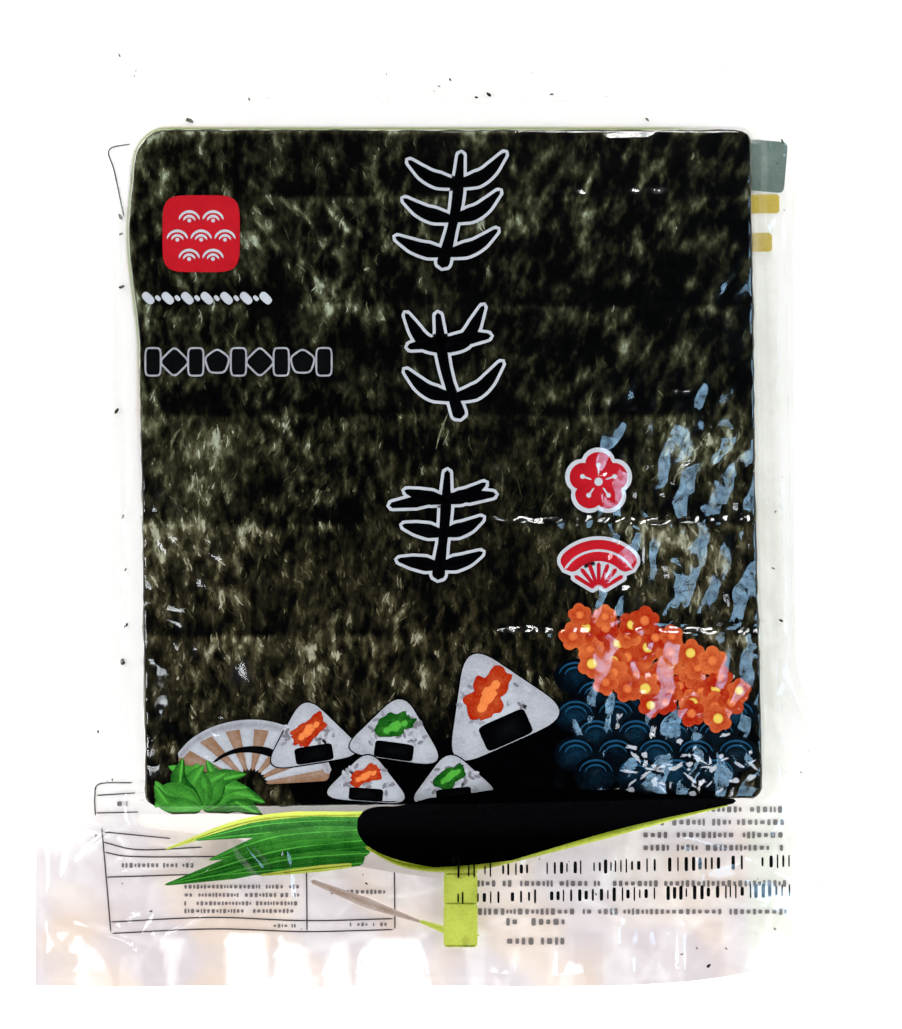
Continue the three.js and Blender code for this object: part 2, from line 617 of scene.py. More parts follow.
@dataclass(frozen=True)
class BagForm:
    """The sealed film: its outline in plan and the height of both its layers."""

    stack: StackPlan = StackPlan()
    length: float = 295.0
    flap_half_width: float = 130.5
    waist_left: float = 107.0
    waist_right: float = 109.0
    waist_starts_at: float = -102.0
    waist_ends_at: float = -42.0
    top_flare: float = 3.0
    top_flare_starts_at: float = 112.0
    corner_rise: float = 8.0
    corner_rise_starts_at: float = 48.0
    margin: float = 1.2
    side_run: float = 9.0
    head_run: float = 15.0
    foot_run: float = 19.0
    fall_power: float = 2.1
    shoulder_width: float = 0.6
    shoulder_drop: float = 0.2
    folds: tuple[Fold, ...] = (
        Fold((101.5, 84), (104.5, -42), 4.2, 7.5),
        Fold((100, -66), (116, -86), 4.5, 5),
        Fold((-101, -50), (-119, -66), 4, 5),
        Fold((-104, -84), (-117, -62), 3.5, 4),
        Fold((-72, -95), (-58, -113), 4, 2.6),
        Fold((62, -104), (112, -128), 10, 2.4),
        Fold((-52.6, -101), (-50.6, -121), 2.2, 0.75),
    )
    lobes: tuple[Lobe, ...] = (
        Lobe(-63.5, 6, 17, 3.4),
        Lobe(-44, 11, 18, 4.2),
        Lobe(-18.5, 11, 17, 4.4),
        Lobe(26, 16, 14, 2.6),
        Lobe(-102, 18, 16, 2.4),
        Lobe(84, 20, 15, 2.8),
    )
    panes: tuple[Pane, ...] = (
        Pane(-100, 4, 3, 10, -0.12),
        Pane(-87.5, 1, 4, 15, -0.25),
        Pane(-64, 5.2, 5.6, 16.5, -0.40),
        Pane(-49.4, 7.3, 2.4, 13, -0.50),
        Pane(-35, 3.4, 1.6, 13, -0.50),
        Pane(-18.1, 10, 6.5, 14.5, -0.50),
        Pane(8, 2.4, 3.2, 18, -0.16),
        Pane(43, 4.6, 4.2, 17, 0.09),
        Pane(60, 5, 4.4, 17, 0.08),
        Pane(79.5, 6.4, 5.4, 17, 0.10),
    )
    flap_creases: CreaseField = CreaseField(
        (-128, -145), (128, -92), 80, (9, 38), (0.9, 2.2), (0.12, 0.6), 72, 50, 41
    )
    left_creases: CreaseField = CreaseField(
        (-108, -92), (-98, 118), 34, (6, 22), (0.7, 1.5), (0.15, 0.5), 80, 28, 42
    )
    right_creases: CreaseField = CreaseField(
        (96, -92), (109, 118), 44, (8, 34), (0.7, 1.6), (0.2, 0.6), 90, 22, 43
    )
    head_creases: CreaseField = CreaseField(
        (-104, 120), (104, 145), 40, (6, 24), (0.7, 1.8), (0.1, 0.4), 80, 45, 44
    )
    cover_creases: CreaseField = CreaseField(
        (-92, -84), (92, 116), 40, (10, 46), (1.2, 2.6), (0.04, 0.16), 80, 50, 45
    )
    head_fold: Fold = Fold((46.5, 116.3), (63, 117), 1.7, 0.3)
    cover_level: float = 14.5
    cover_limits: Point = (13.9, 15.3)
    print_level: float = 13.66
    ridge_pitch: float = 34.1
    first_ridge: float = 99.2
    ridge_width: float = 1.5
    ridge_height: float = 0.8
    trough_offset: float = 2.6
    trough_share: float = 0.6
    pleat_pitch: float = 11.0
    pleat_slant: float = 0.5
    pleat_height: float = 0.42
    pleat_fall: float = 0.375
    pleat_rise: float = 0.125
    edge_run: float = 4.0
    print_gap: float = 0.08

    def half_width(self, y: Array, waist: float) -> Array:
        """Half the bag's width at y on a side whose waist is given.

        Args:
            y: Plan places along.
            waist: The width beside the stack.

        Returns:
            The width at each place.
        """
        to_waist = smoothstep(y, self.waist_starts_at, self.waist_ends_at)
        flare = self.top_flare * smoothstep(y, self.top_flare_starts_at, self.length / 2)
        return lerp(self.flap_half_width, waist, to_waist) + flare

    def left(self, y: Array) -> Array:
        """The bag's left edge."""
        return -self.half_width(y, self.waist_left)

    def right(self, y: Array) -> Array:
        """The bag's right edge."""
        return self.half_width(y, self.waist_right)

    def foot(self, x: Array) -> Array:
        """The bag's lower edge, which rises towards its right corner."""
        rise = self.corner_rise * smoothstep(x, self.corner_rise_starts_at, self.flap_half_width)
        return rise - self.length / 2

    def block_share(self, x: Array, y: Array) -> Array:
        """1 on the stack, falling to 0 where the film reaches its empty margin.

        The share is (1 - d / r) to a power, where d is the distance from the stack's
        outline and r the run on that side.

        Args:
            x: Plan places across.
            y: Plan places along.

        Returns:
            The share over each place.
        """
        outside, lengthwise = self.stack.outside(x, y)
        end_run = np.where(y > self.stack.middle[1], self.head_run, self.foot_run)
        run = lerp(self.side_run, end_run, lengthwise)
        return np.clip(1.0 - np.maximum(outside, 0) / run, 0, 1) ** self.fall_power

    def shoulder(self, x: Array, y: Array) -> Array:
        """How far the rounded rim of the stack lies below its middle."""
        inside = np.clip(-self.stack.outside(x, y)[0] / self.shoulder_width, 0, 1)
        return self.shoulder_drop * (1.0 - inside) ** 2

    def edge_distance(self, x: Array, y: Array) -> Array:
        """How far a plan point lies inside the bag's outline.

        Args:
            x: Plan places across.
            y: Plan places along.

        Returns:
            The distance, 0 outside.
        """
        sides = np.minimum(x - self.left(y), self.right(y) - x)
        ends = np.minimum(y - self.foot(x), self.length / 2 - y)
        return np.maximum(np.minimum(sides, ends), 0)

    def waves(self, x: Array, y: Array) -> Array:
        """The lift that both layers of the empty flap share near its lower edge."""
        above_edge = y - self.foot(x)
        return np.max([lobe.over(x, above_edge) for lobe in self.lobes], axis=0)

    def from_line(self, x: Array, y: Array) -> Array:
        """The distance above the nearest pressed line, in millimetres.

        The lines are one pitch apart and waver; the drying frame left them.
        """
        bent = y + 0.6 * Noise(24, 23, 2).at(x, y) + 0.3 * Noise(5, 25).at(x, y)
        return (((bent - self.first_ridge) / self.ridge_pitch + 0.5) % 1.0 - 0.5) * self.ridge_pitch

    def ridges(self, x: Array, y: Array) -> Array:
        """Small broken ridges on the film along the pressed lines, most on the low ones.

        Each is a bell on the line, with a shallower trough just above it.

        Args:
            x: Plan places across.
            y: Plan places along.

        Returns:
            The height there.
        """
        away = self.from_line(x, y) + 0.75 * Noise(2.6, 48, 2).at(x, y)
        trough = np.exp(-(((away - self.trough_offset) / self.ridge_width) ** 2))
        line = np.exp(-((away / self.ridge_width) ** 2)) - self.trough_share * trough
        high = smoothstep(y, 70, 90)
        broken = np.clip(0.68 - 0.5 * high + 1.3 * Noise(5.5, 46, 2).at(x, 0.4 * y), 0, 1)
        strength = self.ridge_height - 0.75 * window(y, 25, 76, 6) - 0.58 * high
        low = 0.25 + 0.75 * smoothstep(y, -64, -50)
        return strength * line * broken * low * smoothstep(x, 2, 24)

    def pleats(self, x: Array, y: Array) -> Array:
        """Slack slanting pleats on the right, each with a gentle fall and a steep rise.

        Args:
            x: Plan places across.
            y: Plan places along.

        Returns:
            The height there.
        """
        bent = 0.55 * Noise(15, 47, 2).at(x, y)
        share = ((x - self.pleat_slant * y) / self.pleat_pitch + bent) % 1.0
        saw = np.maximum(1.0 - share / self.pleat_fall, 1.0 - (1.0 - share) / self.pleat_rise)
        slack = smoothstep(x, 30, 56) * smoothstep(-y, -50, -26)
        corner = 0.8 * np.exp(-(((x - 88) / 9) ** 2) - ((y - 62) / 16) ** 2)
        return self.pleat_height * saw * np.maximum(slack, corner)

    def cover(self, x: Array, y: Array) -> Array:
        """The film's height over the stack, with its shoulder left out.

        It is tight with shallow swells and over the pressed lines, and loose with flat
        facets on the right from the middle down and in the lower left corner.

        Args:
            x: Plan places across.
            y: Plan places along.

        Returns:
            The height there.
        """
        right = smoothstep(x, 14, 44) * smoothstep(-y, -54, -28)
        left = smoothstep(-x, 56, 82) * smoothstep(-y, -20, 20)
        middle = np.exp(-(((x - 12) / 14) ** 2) - ((y - 20) / 22) ** 2)
        loose = 0.11 + 0.89 * np.clip(0.5 * right + 0.9 * left + 0.45 * middle, 0, 1)
        facets = 0.46 * Crumple(15, 60, 7, 0.5).at(x, y) + 0.17 * Crumple(6, 70, 6, 0.5).at(x, y)
        tight = 1.0 - 0.85 * np.exp(-((self.from_line(x, y) / 2.6) ** 2))
        swell = 0.10 * Noise(30, 7, 2).at(x, y)
        height = self.cover_level + tight * (loose * facets + self.pleats(x, y)) + swell
        height = height + self.ridges(x, y) + self.cover_creases.over(x, y) + self.head_fold.over(x, y)
        return np.clip(height, *self.cover_limits)

    def margin_relief(self, x: Array, y: Array) -> Array:
        """The ripples and wrinkles of the empty film round the stack.

        Args:
            x: Plan places across.
            y: Plan places along.

        Returns:
            The height there.
        """
        relief = 0.35 + 0.25 * Crumple(24, 80).at(x, y) + 0.12 * Noise(9, 9, 2).at(x, y)
        fields = (self.flap_creases, self.left_creases, self.right_creases, self.head_creases)
        return np.maximum(relief, 0) + sum(creases.over(x, y) for creases in fields)

    def front(self, x: Array, y: Array) -> Array:
        """The front layer's height over plan points, in millimetres.

        It is the block's height on the stack, falls to the margin round it, is never
        below a fold or a wave, and comes down to the back layer at the outline.

        Args:
            x: Plan places across.
            y: Plan places along.

        Returns:
            The height there.
        """
        share = self.block_share(x, y)
        block = self.cover(x, y) - self.shoulder(x, y)
        folds = np.max([fold.over(x, y) for fold in self.folds], axis=0)
        margin = self.margin + np.maximum(folds, self.waves(x, y))
        margin = margin + (1.0 - share) * self.margin_relief(x, y)
        height = np.maximum(lerp(self.margin, block, share), margin)
        back = self.back(x, y)
        sealed = smoothstep(self.edge_distance(x, y), 0, self.edge_run)
        return lerp(back + 0.05, np.maximum(height, back + 0.3), sealed)

    def back(self, x: Array, y: Array) -> Array:
        """The back layer's height: flat on the table, lifted by the flap's waves."""
        return 0.12 + 0.9 * self.waves(x, y)

    def front_print(self, x: Array, y: Array) -> Array:
        """The level of the front print, close below the film and smoother than it."""
        block = self.print_level - self.shoulder(x, y)
        return lerp(1.0 + self.waves(x, y), block, self.block_share(x, y))

    def flap_print(self, x: Array, y: Array) -> Array:
        """The level of the print outside on the front layer, smoother than the film."""
        block = self.cover_level + 0.35 - self.shoulder(x, y)
        return lerp(self.margin + 0.75 + self.waves(x, y), block, self.block_share(x, y))

    def back_print(self, x: Array, y: Array) -> Array:
        """The level of the back print, on top of the back layer."""
        return self.back(x, y) + self.print_gap

    def tint(self, x: Array, y: Array) -> Array:
        """How the film is tinted: 0 clear, 0.5 the flap's haze, 1 the green rim.

        Beside the stack's right side the tint is a painted shadow of the stack, and the
        haze is lifted along the flap's creases as painted glints.

        Args:
            x: Plan places across.
            y: Plan places along.

        Returns:
            The tint over each place, from 0 to 1.
        """
        above_edge = y - self.foot(x)
        faded_left = smoothstep(-x, 112, 122) * smoothstep(y, -110, -96)
        faded = np.maximum(smoothstep(x, 96, 126), faded_left)
        facets = smoothstep(Crumple(26, 85, 6, 0.5).at(x, y), -0.04, 0.04) - 0.5
        facets = facets + 0.6 * smoothstep(Crumple(11, 86, 5, 0.5).at(x, y), -0.05, 0.05) - 0.3
        haze = 0.36 + 0.05 * window(x, -104, -80, 16) - 0.02 * smoothstep(x, 0, 50) + 0.05 * facets
        haze = haze + 0.06 * smoothstep(-y, 118, 130) * (1.0 + smoothstep(-x, 50, 70))
        # Painted glints: the haze is lifted along the flap's creases, so they show lighter.
        haze = haze - 0.4 * np.minimum(self.flap_creases.over(x, y), 0.3)
        haze = np.clip(haze + sum(pane.over(x, above_edge) for pane in self.panes), 0, 0.55)
        haze = haze * smoothstep(-y, 82, 104) * (1.0 - 0.85 * faded)
        outside = self.stack.outside(x, y)[0]
        near = 1.0 - 0.6 * smoothstep(outside, 3, 12)
        # Painted shadow of the stack on the right margin: darker film beside its right side, strongest near
        # the stack.
        side = 0.25 * near * smoothstep(x, 90, 98) * (1.0 + 0.3 * facets)
        on_left, on_right = smoothstep(y, -20, 70), 0.62 * smoothstep(y, -88, -70)
        strength = lerp(on_left, on_right, smoothstep(x, 60, 90))
        rim = np.exp(-(((outside - 0.9) / 1.2) ** 2)) * strength
        return np.maximum(np.maximum(haze, side), rim)


# ---- Finishes ----


def linear(code: str) -> tuple[float, float, float, float]:
    """The linear colour of a hex code such as #c81e32, fully opaque.

    Args:
        code: The code, a hash sign and six digits.

    Returns:
        Red, green, blue and an alpha of 1.
    """
    shares = [int(code[start : start + 2], 16) / 255 for start in (1, 3, 5)]
    channels = [s / 12.92 if s <= 0.04045 else ((s + 0.055) / 1.055) ** 2.4 for s in shares]
    return (*channels, 1)


class Shader:
    """A material's or a world's node tree, with short ways to add nodes and join them."""

    def __init__(self, owner: Material | bpy.types.World, kind: str = "Material") -> None:
        """Starts an empty tree with its output.

        Args:
            owner: The material or the world.
            kind: Which of the two it is, as its output node's name says.
        """
        self._owner = owner
        owner.use_nodes = True
        self._tree = owner.node_tree
        self._tree.nodes.clear()
        self._output = self.add("Output" + kind)

    @classmethod
    def material(cls, name: str) -> Shader:
        """Starts a material of that name."""
        return cls(bpy.data.materials.new(name))

    def add(self, kind: str, sockets: dict | None = None, **settings: object) -> bpy.types.Node:
        """Adds a node.

        Args:
            kind: The node's type name, without its ShaderNode.
            sockets: What goes into its inputs by name or number: another node's
                output, which is linked, or a value.
            settings: The node's own properties.

        Returns:
            The new node.
        """
        node = self._tree.nodes.new("ShaderNode" + kind)
        for name, value in settings.items():
            setattr(node, name, value)
        for name, value in (sockets or {}).items():
            if isinstance(value, Socket):
                self._tree.links.new(value, node.inputs[name])
            else:
                node.inputs[name].default_value = value
        return node

    def millimetres(self, stretch: Sequence[float] = (1, 1, 1), turn: float = 0) -> Socket:
        """Object coordinates in millimetres, turned in plan and divided by stretch.

        Args:
            stretch: How far the pattern is drawn out along each axis.
            turn: The turn in degrees.

        Returns:
            The place.
        """
        place = self.add("TexCoord").outputs["Object"]
        turned = self.add("Mapping", {"Vector": place, "Rotation": (0, 0, math.radians(turn))})
        scale = [1.0 / (MM * part) for part in stretch]
        return self.add("Mapping", {"Vector": turned.outputs[0], "Scale": scale}).outputs[0]

    def noise(self, place: Socket, size: float, detail: float = 1, warp: float = 0) -> Socket:
        """Noise from 0 to 1 with features of a size, in the units of place."""
        sockets = {"Vector": place, "Scale": 1.0 / size, "Detail": detail, "Distortion": warp}
        return self.add("TexNoise", sockets).outputs["Fac"]

    def swell(self, noise: Socket, height: float) -> Socket:
        """Noise moved to lie round 0, with a height from its lowest to its highest."""
        return self.math("MULTIPLY", self.math("SUBTRACT", noise, 0.5), height)

    def ramp(self, share: Socket, low: float, high: float, ends: Point = (0, 1)) -> Socket:
        """The first of ends below low, the second above high, smooth in between."""
        sockets = {"Value": share, "From Min": low, "From Max": high, "To Min": ends[0], "To Max": ends[1]}
        return self.add("MapRange", sockets, interpolation_type="SMOOTHSTEP").outputs[0]

    def math(self, operation: str, *values: object) -> Socket:
        """The result of one arithmetic step on sockets or numbers."""
        return self.add("Math", dict(enumerate(values)), operation=operation).outputs[0]

    def mix(self, share: object, low: object, high: object) -> Socket:
        """A colour a share of the way between two colours."""
        return self.add("Mix", {0: share, 6: low, 7: high}, data_type="RGBA").outputs[2]

    def colours(self, share: Socket, stops: dict[float, str]) -> Socket:
        """A colour from a row of stops, each a place from 0 to 1 and a hex code.

        Args:
            share: Where to read the row.
            stops: The stops.

        Returns:
            The colour.
        """
        node = self.add("ValToRGB", {"Fac": share})
        elements = node.color_ramp.elements
        for index, (place, code) in enumerate(stops.items()):
            element = elements[index] if index < 2 else elements.new(place)
            element.position = place
            element.color = linear(code)
        return node.outputs["Color"]

    def tone(self) -> Socket:
        """The piece's own number from 0 to 1 at each point."""
        return self.add("Attribute", attribute_name="tone").outputs["Fac"]

    def finish(self, surface: Socket) -> Material | bpy.types.World:
        """Joins the surface to the output and hands the owner over."""
        self._tree.links.new(surface, self._output.inputs["Surface"])
        return self._owner


@dataclass(frozen=True)
class FilmFinish:
    """Clear glossy film: what isn't mirrored passes through, a little tinted."""

    name: str
    clear: str = "#fefefd"
    cool_haze: str = "#e2dddf"
    warm_haze: str = "#e8ded7"
    side_shadow_tint: str = "#e4e6df"
    rim: str = "#87a04e"
    gloss: float = 0.09
    refraction: float = 1.5
    faces: float = 0.90
    cloud_size: float = 14.0
    mottle: float = 3.4
    mottle_size: float = 1.9
    hue_size: float = 30.0

    def material(self) -> Material:
        """Makes the material: clear and mirror, mixed by the mirrored share.

        That share is Schlick's: what a straight look mirrors, plus the rest times the
        fifth power of one less the cosine. It is alike from both sides of the film.

        Returns:
            The material.
        """
        shader = Shader.material(self.name)
        place = shader.millimetres()
        cloud = shader.math("MULTIPLY_ADD", shader.noise(place, self.cloud_size), 0.3, self.faces)
        speck = shader.math("SUBTRACT", shader.noise(place, self.mottle_size, 2), 0.5)
        calm = shader.math("MULTIPLY_ADD", shader.tone(), -1.6 * self.mottle, self.mottle)
        patchy = shader.math("MAXIMUM", shader.math("MULTIPLY_ADD", speck, calm, cloud), 0.1)
        straight = ((self.refraction - 1) / (self.refraction + 1)) ** 2
        facing = shader.add("LayerWeight", {"Blend": 0.5}).outputs["Facing"]
        slanting = shader.math("MULTIPLY", shader.math("POWER", facing, 5), 1.0 - straight)
        mirrored = shader.math("MULTIPLY_ADD", patchy, straight, slanting)
        warm = shader.ramp(shader.noise(place, self.hue_size, 1), 0.4, 0.6)
        haze = shader.mix(warm, linear(self.cool_haze), linear(self.warm_haze))
        # Right of the stack the tint takes the colour of the painted shadow there.
        at_side = shader.ramp(shader.add("SeparateXYZ", {"Vector": place}).outputs["X"], 90, 97)
        haze = shader.mix(at_side, haze, linear(self.side_shadow_tint))
        hazy = shader.math("MINIMUM", shader.math("MULTIPLY", shader.tone(), 2), 1.1)
        tint = shader.mix(hazy, linear(self.clear), haze)
        tint = shader.mix(shader.ramp(shader.tone(), 0.5, 1), tint, linear(self.rim))
        clear = shader.add("BsdfTransparent", {"Color": tint}).outputs[0]
        mirror = shader.add("BsdfGlossy", {"Roughness": self.gloss}).outputs[0]
        mixed = shader.add("MixShader", {0: shader.math("MINIMUM", mirrored, 1), 1: clear, 2: mirror})
        return shader.finish(mixed.outputs[0])


@dataclass(frozen=True)
class NoriFinish:
    """Toasted seaweed, from black over brown to a pale khaki, by the piece's tone.

    The stops are even steps of the colour's logarithm, as the mottle of a sheet has.
    """

    name: str
    grain_size: float = 1.1
    grain_share: float = 0.26
    low_hue: str = "#fff3e6"
    high_hue: str = "#f6fef6"
    roughness: float = 0.45
    stops: tuple[tuple[float, str], ...] = (
        (0, "#000000"),
        (1, "#a5ab9d"),
        (0.2, "#040403"),
        (0.4, "#18180f"),
        (0.6, "#323123"),
        (0.8, "#5f604c"),
    )

    def material(self) -> Material:
        """Makes the material: the tone, with fine upright grain added.

        Returns:
            The material.
        """
        shader = Shader.material(self.name)
        grain = shader.noise(shader.millimetres((1, 1.9, 1), -8), self.grain_size, 2, 0.3)
        fine = shader.swell(grain, 2.0 * self.grain_share)
        shade = shader.colours(shader.math("ADD", shader.tone(), fine), dict(self.stops))
        along = shader.add("SeparateXYZ", {"Vector": shader.millimetres()}).outputs["Y"]
        hue = shader.mix(shader.ramp(along, -40, 70), linear(self.low_hue), linear(self.high_hue))
        sockets = {0: 1, 6: shade, 7: hue}
        colour = shader.add("Mix", sockets, data_type="RGBA", blend_type="MULTIPLY").outputs[2]
        surface = shader.add(
            "BsdfPrincipled",
            {"Base Color": colour, "Roughness": self.roughness, "Specular IOR Level": 0.01},
        )
        return shader.finish(surface.outputs[0])


@dataclass(frozen=True)
class InkFinish:
    """Printing ink on the film, from a deep to a light shade."""

    deep: str
    light: str
    shine: float = 0.3
    roughness: float = 0.12
    cloud_size: float = 5.0
    cloud_height: float = 0.35
    speck_size: float = 0.7
    speck_height: float = 0.4

    def material(self, name: str) -> Material:
        """Makes the material: the two shades mixed by the print's own tone.

        Args:
            name: The material's name.

        Returns:
            The material.
        """
        shader = Shader.material(name)
        place = shader.millimetres()
        uneven = shader.swell(shader.noise(place, self.cloud_size), self.cloud_height)
        speck = shader.swell(shader.noise(place, self.speck_size, 2), self.speck_height)
        share = shader.math("ADD", shader.tone(), shader.math("ADD", uneven, speck))
        colour = shader.mix(shader.ramp(share, 0, 1), linear(self.deep), linear(self.light))
        sockets = {"Base Color": colour, "Roughness": self.roughness, "Specular IOR Level": self.shine}
        return shader.finish(shader.add("BsdfPrincipled", sockets).outputs[0])


class Ink(Enum):
    """The inks, each with its slot in the record and its finish."""

    WHITE = ("ink_white", InkFinish("#77757f", "#bcc2cc"))
    BLACK = ("ink_black", InkFinish("#010102", "#101214", 0.005))
    GREY = ("ink_grey", InkFinish("#4c4a4c", "#8b888a", 0.1))
    RED = ("ink_red", InkFinish("#930f1b", "#bd1c28"))
    ORANGE = ("ink_orange", InkFinish("#9c1604", "#ea8648"))
    GREEN = ("ink_green", InkFinish("#06400e", "#4fa63c", 0.08))
    LIME = ("ink_lime", InkFinish("#5d6a0a", "#c3d05a", 0.08))
    NAVY = ("ink_navy", InkFinish("#01040a", "#174766", 0.5))
    CREAM = ("ink_cream", InkFinish("#86644a", "#cbc1bd"))
    YELLOW = ("ink_yellow", InkFinish("#c9a21f", "#ead26a"))
    SLATE = ("ink_slate", InkFinish("#6f837e", "#a3b3ac", 0.1))

    @property
    def slot(self) -> str:
        """The record's material slot."""
        return self.value[0]

    @property
    def look(self) -> InkFinish:
        """The ink's finish."""
        return self.value[1]


# ---- The film ----


@dataclass
class FilmBag:
    """The front and back layers of the clear film, each on its own fine grid."""

    form: BagForm
    front_columns: Counts = (40, 168, 50)
    front_rows: Counts = (92, 222, 46)
    back_columns: Counts = (16, 60, 18)
    back_rows: Counts = (48, 30, 14)
    rim_lines: tuple[float, ...] = (0.0008, 0.0016, 0.0028)

    def _stops(self, counts: Counts) -> Array:
        """Places of grid lines, with a few more just within the stack's rim.

        Args:
            counts: How many cells lie before, over and after the stack.

        Returns:
            The places, from 0 to 3.
        """
        even = [zone + np.arange(1, n + 1) / n for zone, n in enumerate(counts)]
        rim = np.array(self.rim_lines)
        return np.sort(np.concatenate([[0], *even, 1.0 + rim, 2.0 - rim]))

    def _grid(self, columns: Counts, rows: Counts) -> Pair:
        """Plan points of a grid whose lines follow the stack's and the bag's edges.

        Args:
            columns: The counts of cells across.
            rows: The counts of cells along.

        Returns:
            The x and the y of every point.
        """
        place_x, place_y = np.meshgrid(self._stops(columns), self._stops(rows))
        stack = self.form.stack
        nominal = self._across(np.full_like(place_x, stack.middle[1]), place_x)
        stops = [self.form.foot(nominal), stack.foot(nominal), stack.top, self.form.length / 2]
        y = between_stops(stops, place_y)
        return self._across(y, place_x), y

    def _across(self, y: Array, place: Array) -> Array:
        """The x of a place between the bag's and the stack's sides at y.

        Args:
            y: Plan places along.
            place: The place, from 0 to 3.

        Returns:
            The x of each.
        """
        form = self.form
        stops = [form.left(y), form.stack.left(y), form.stack.right(y), form.right(y)]
        return between_stops(stops, place)

    def build(self) -> None:
        """Makes both layers and dresses them."""
        x, y = self._grid(self.front_columns, self.front_rows)
        self._layer("film_front", x, y, self.form.front(x, y), self.form.tint(x, y), False)
        x, y = self._grid(self.back_columns, self.back_rows)
        self._layer("film_back", x, y, self.form.back(x, y), np.minimum(self.form.tint(x, y), 0.5), True)

    @staticmethod
    def _layer(name: str, x: Array, y: Array, height: Array, tint: Array, flip: bool) -> None:
        """Makes one layer, which lets all light through to what it covers.

        Args:
            name: The piece's name.
            x: Plan places across.
            y: Plan places along.
            height: The height over each place.
            tint: The tint over each place.
            flip: Whether its outer face looks down.
        """
        parts = MeshParts()
        parts.add_grids(points_of(x, y, height), tint, flip=flip)
        film = attach(parts.build(name, FilmFinish(f"clear_{name}").material()), "film")
        film.visible_shadow = False
        film.visible_diffuse = False


# ---- The sheets of nori ----


@dataclass(frozen=True)
class Patch:
    """An oval part of a sheet drawn lighter, or darker with a gain below 0: partly its own uneven colour,
    partly painted light and shade.
    """

    x: float
    y: float
    half_x: float
    half_y: float
    gain: float

    def over(self, x: Array, y: Array) -> Array:
        """The gain times e to the minus squared distance in half sizes."""
        away = ((x - self.x) / self.half_x) ** 2 + ((y - self.y) / self.half_y) ** 2
        return self.gain * np.exp(-away)


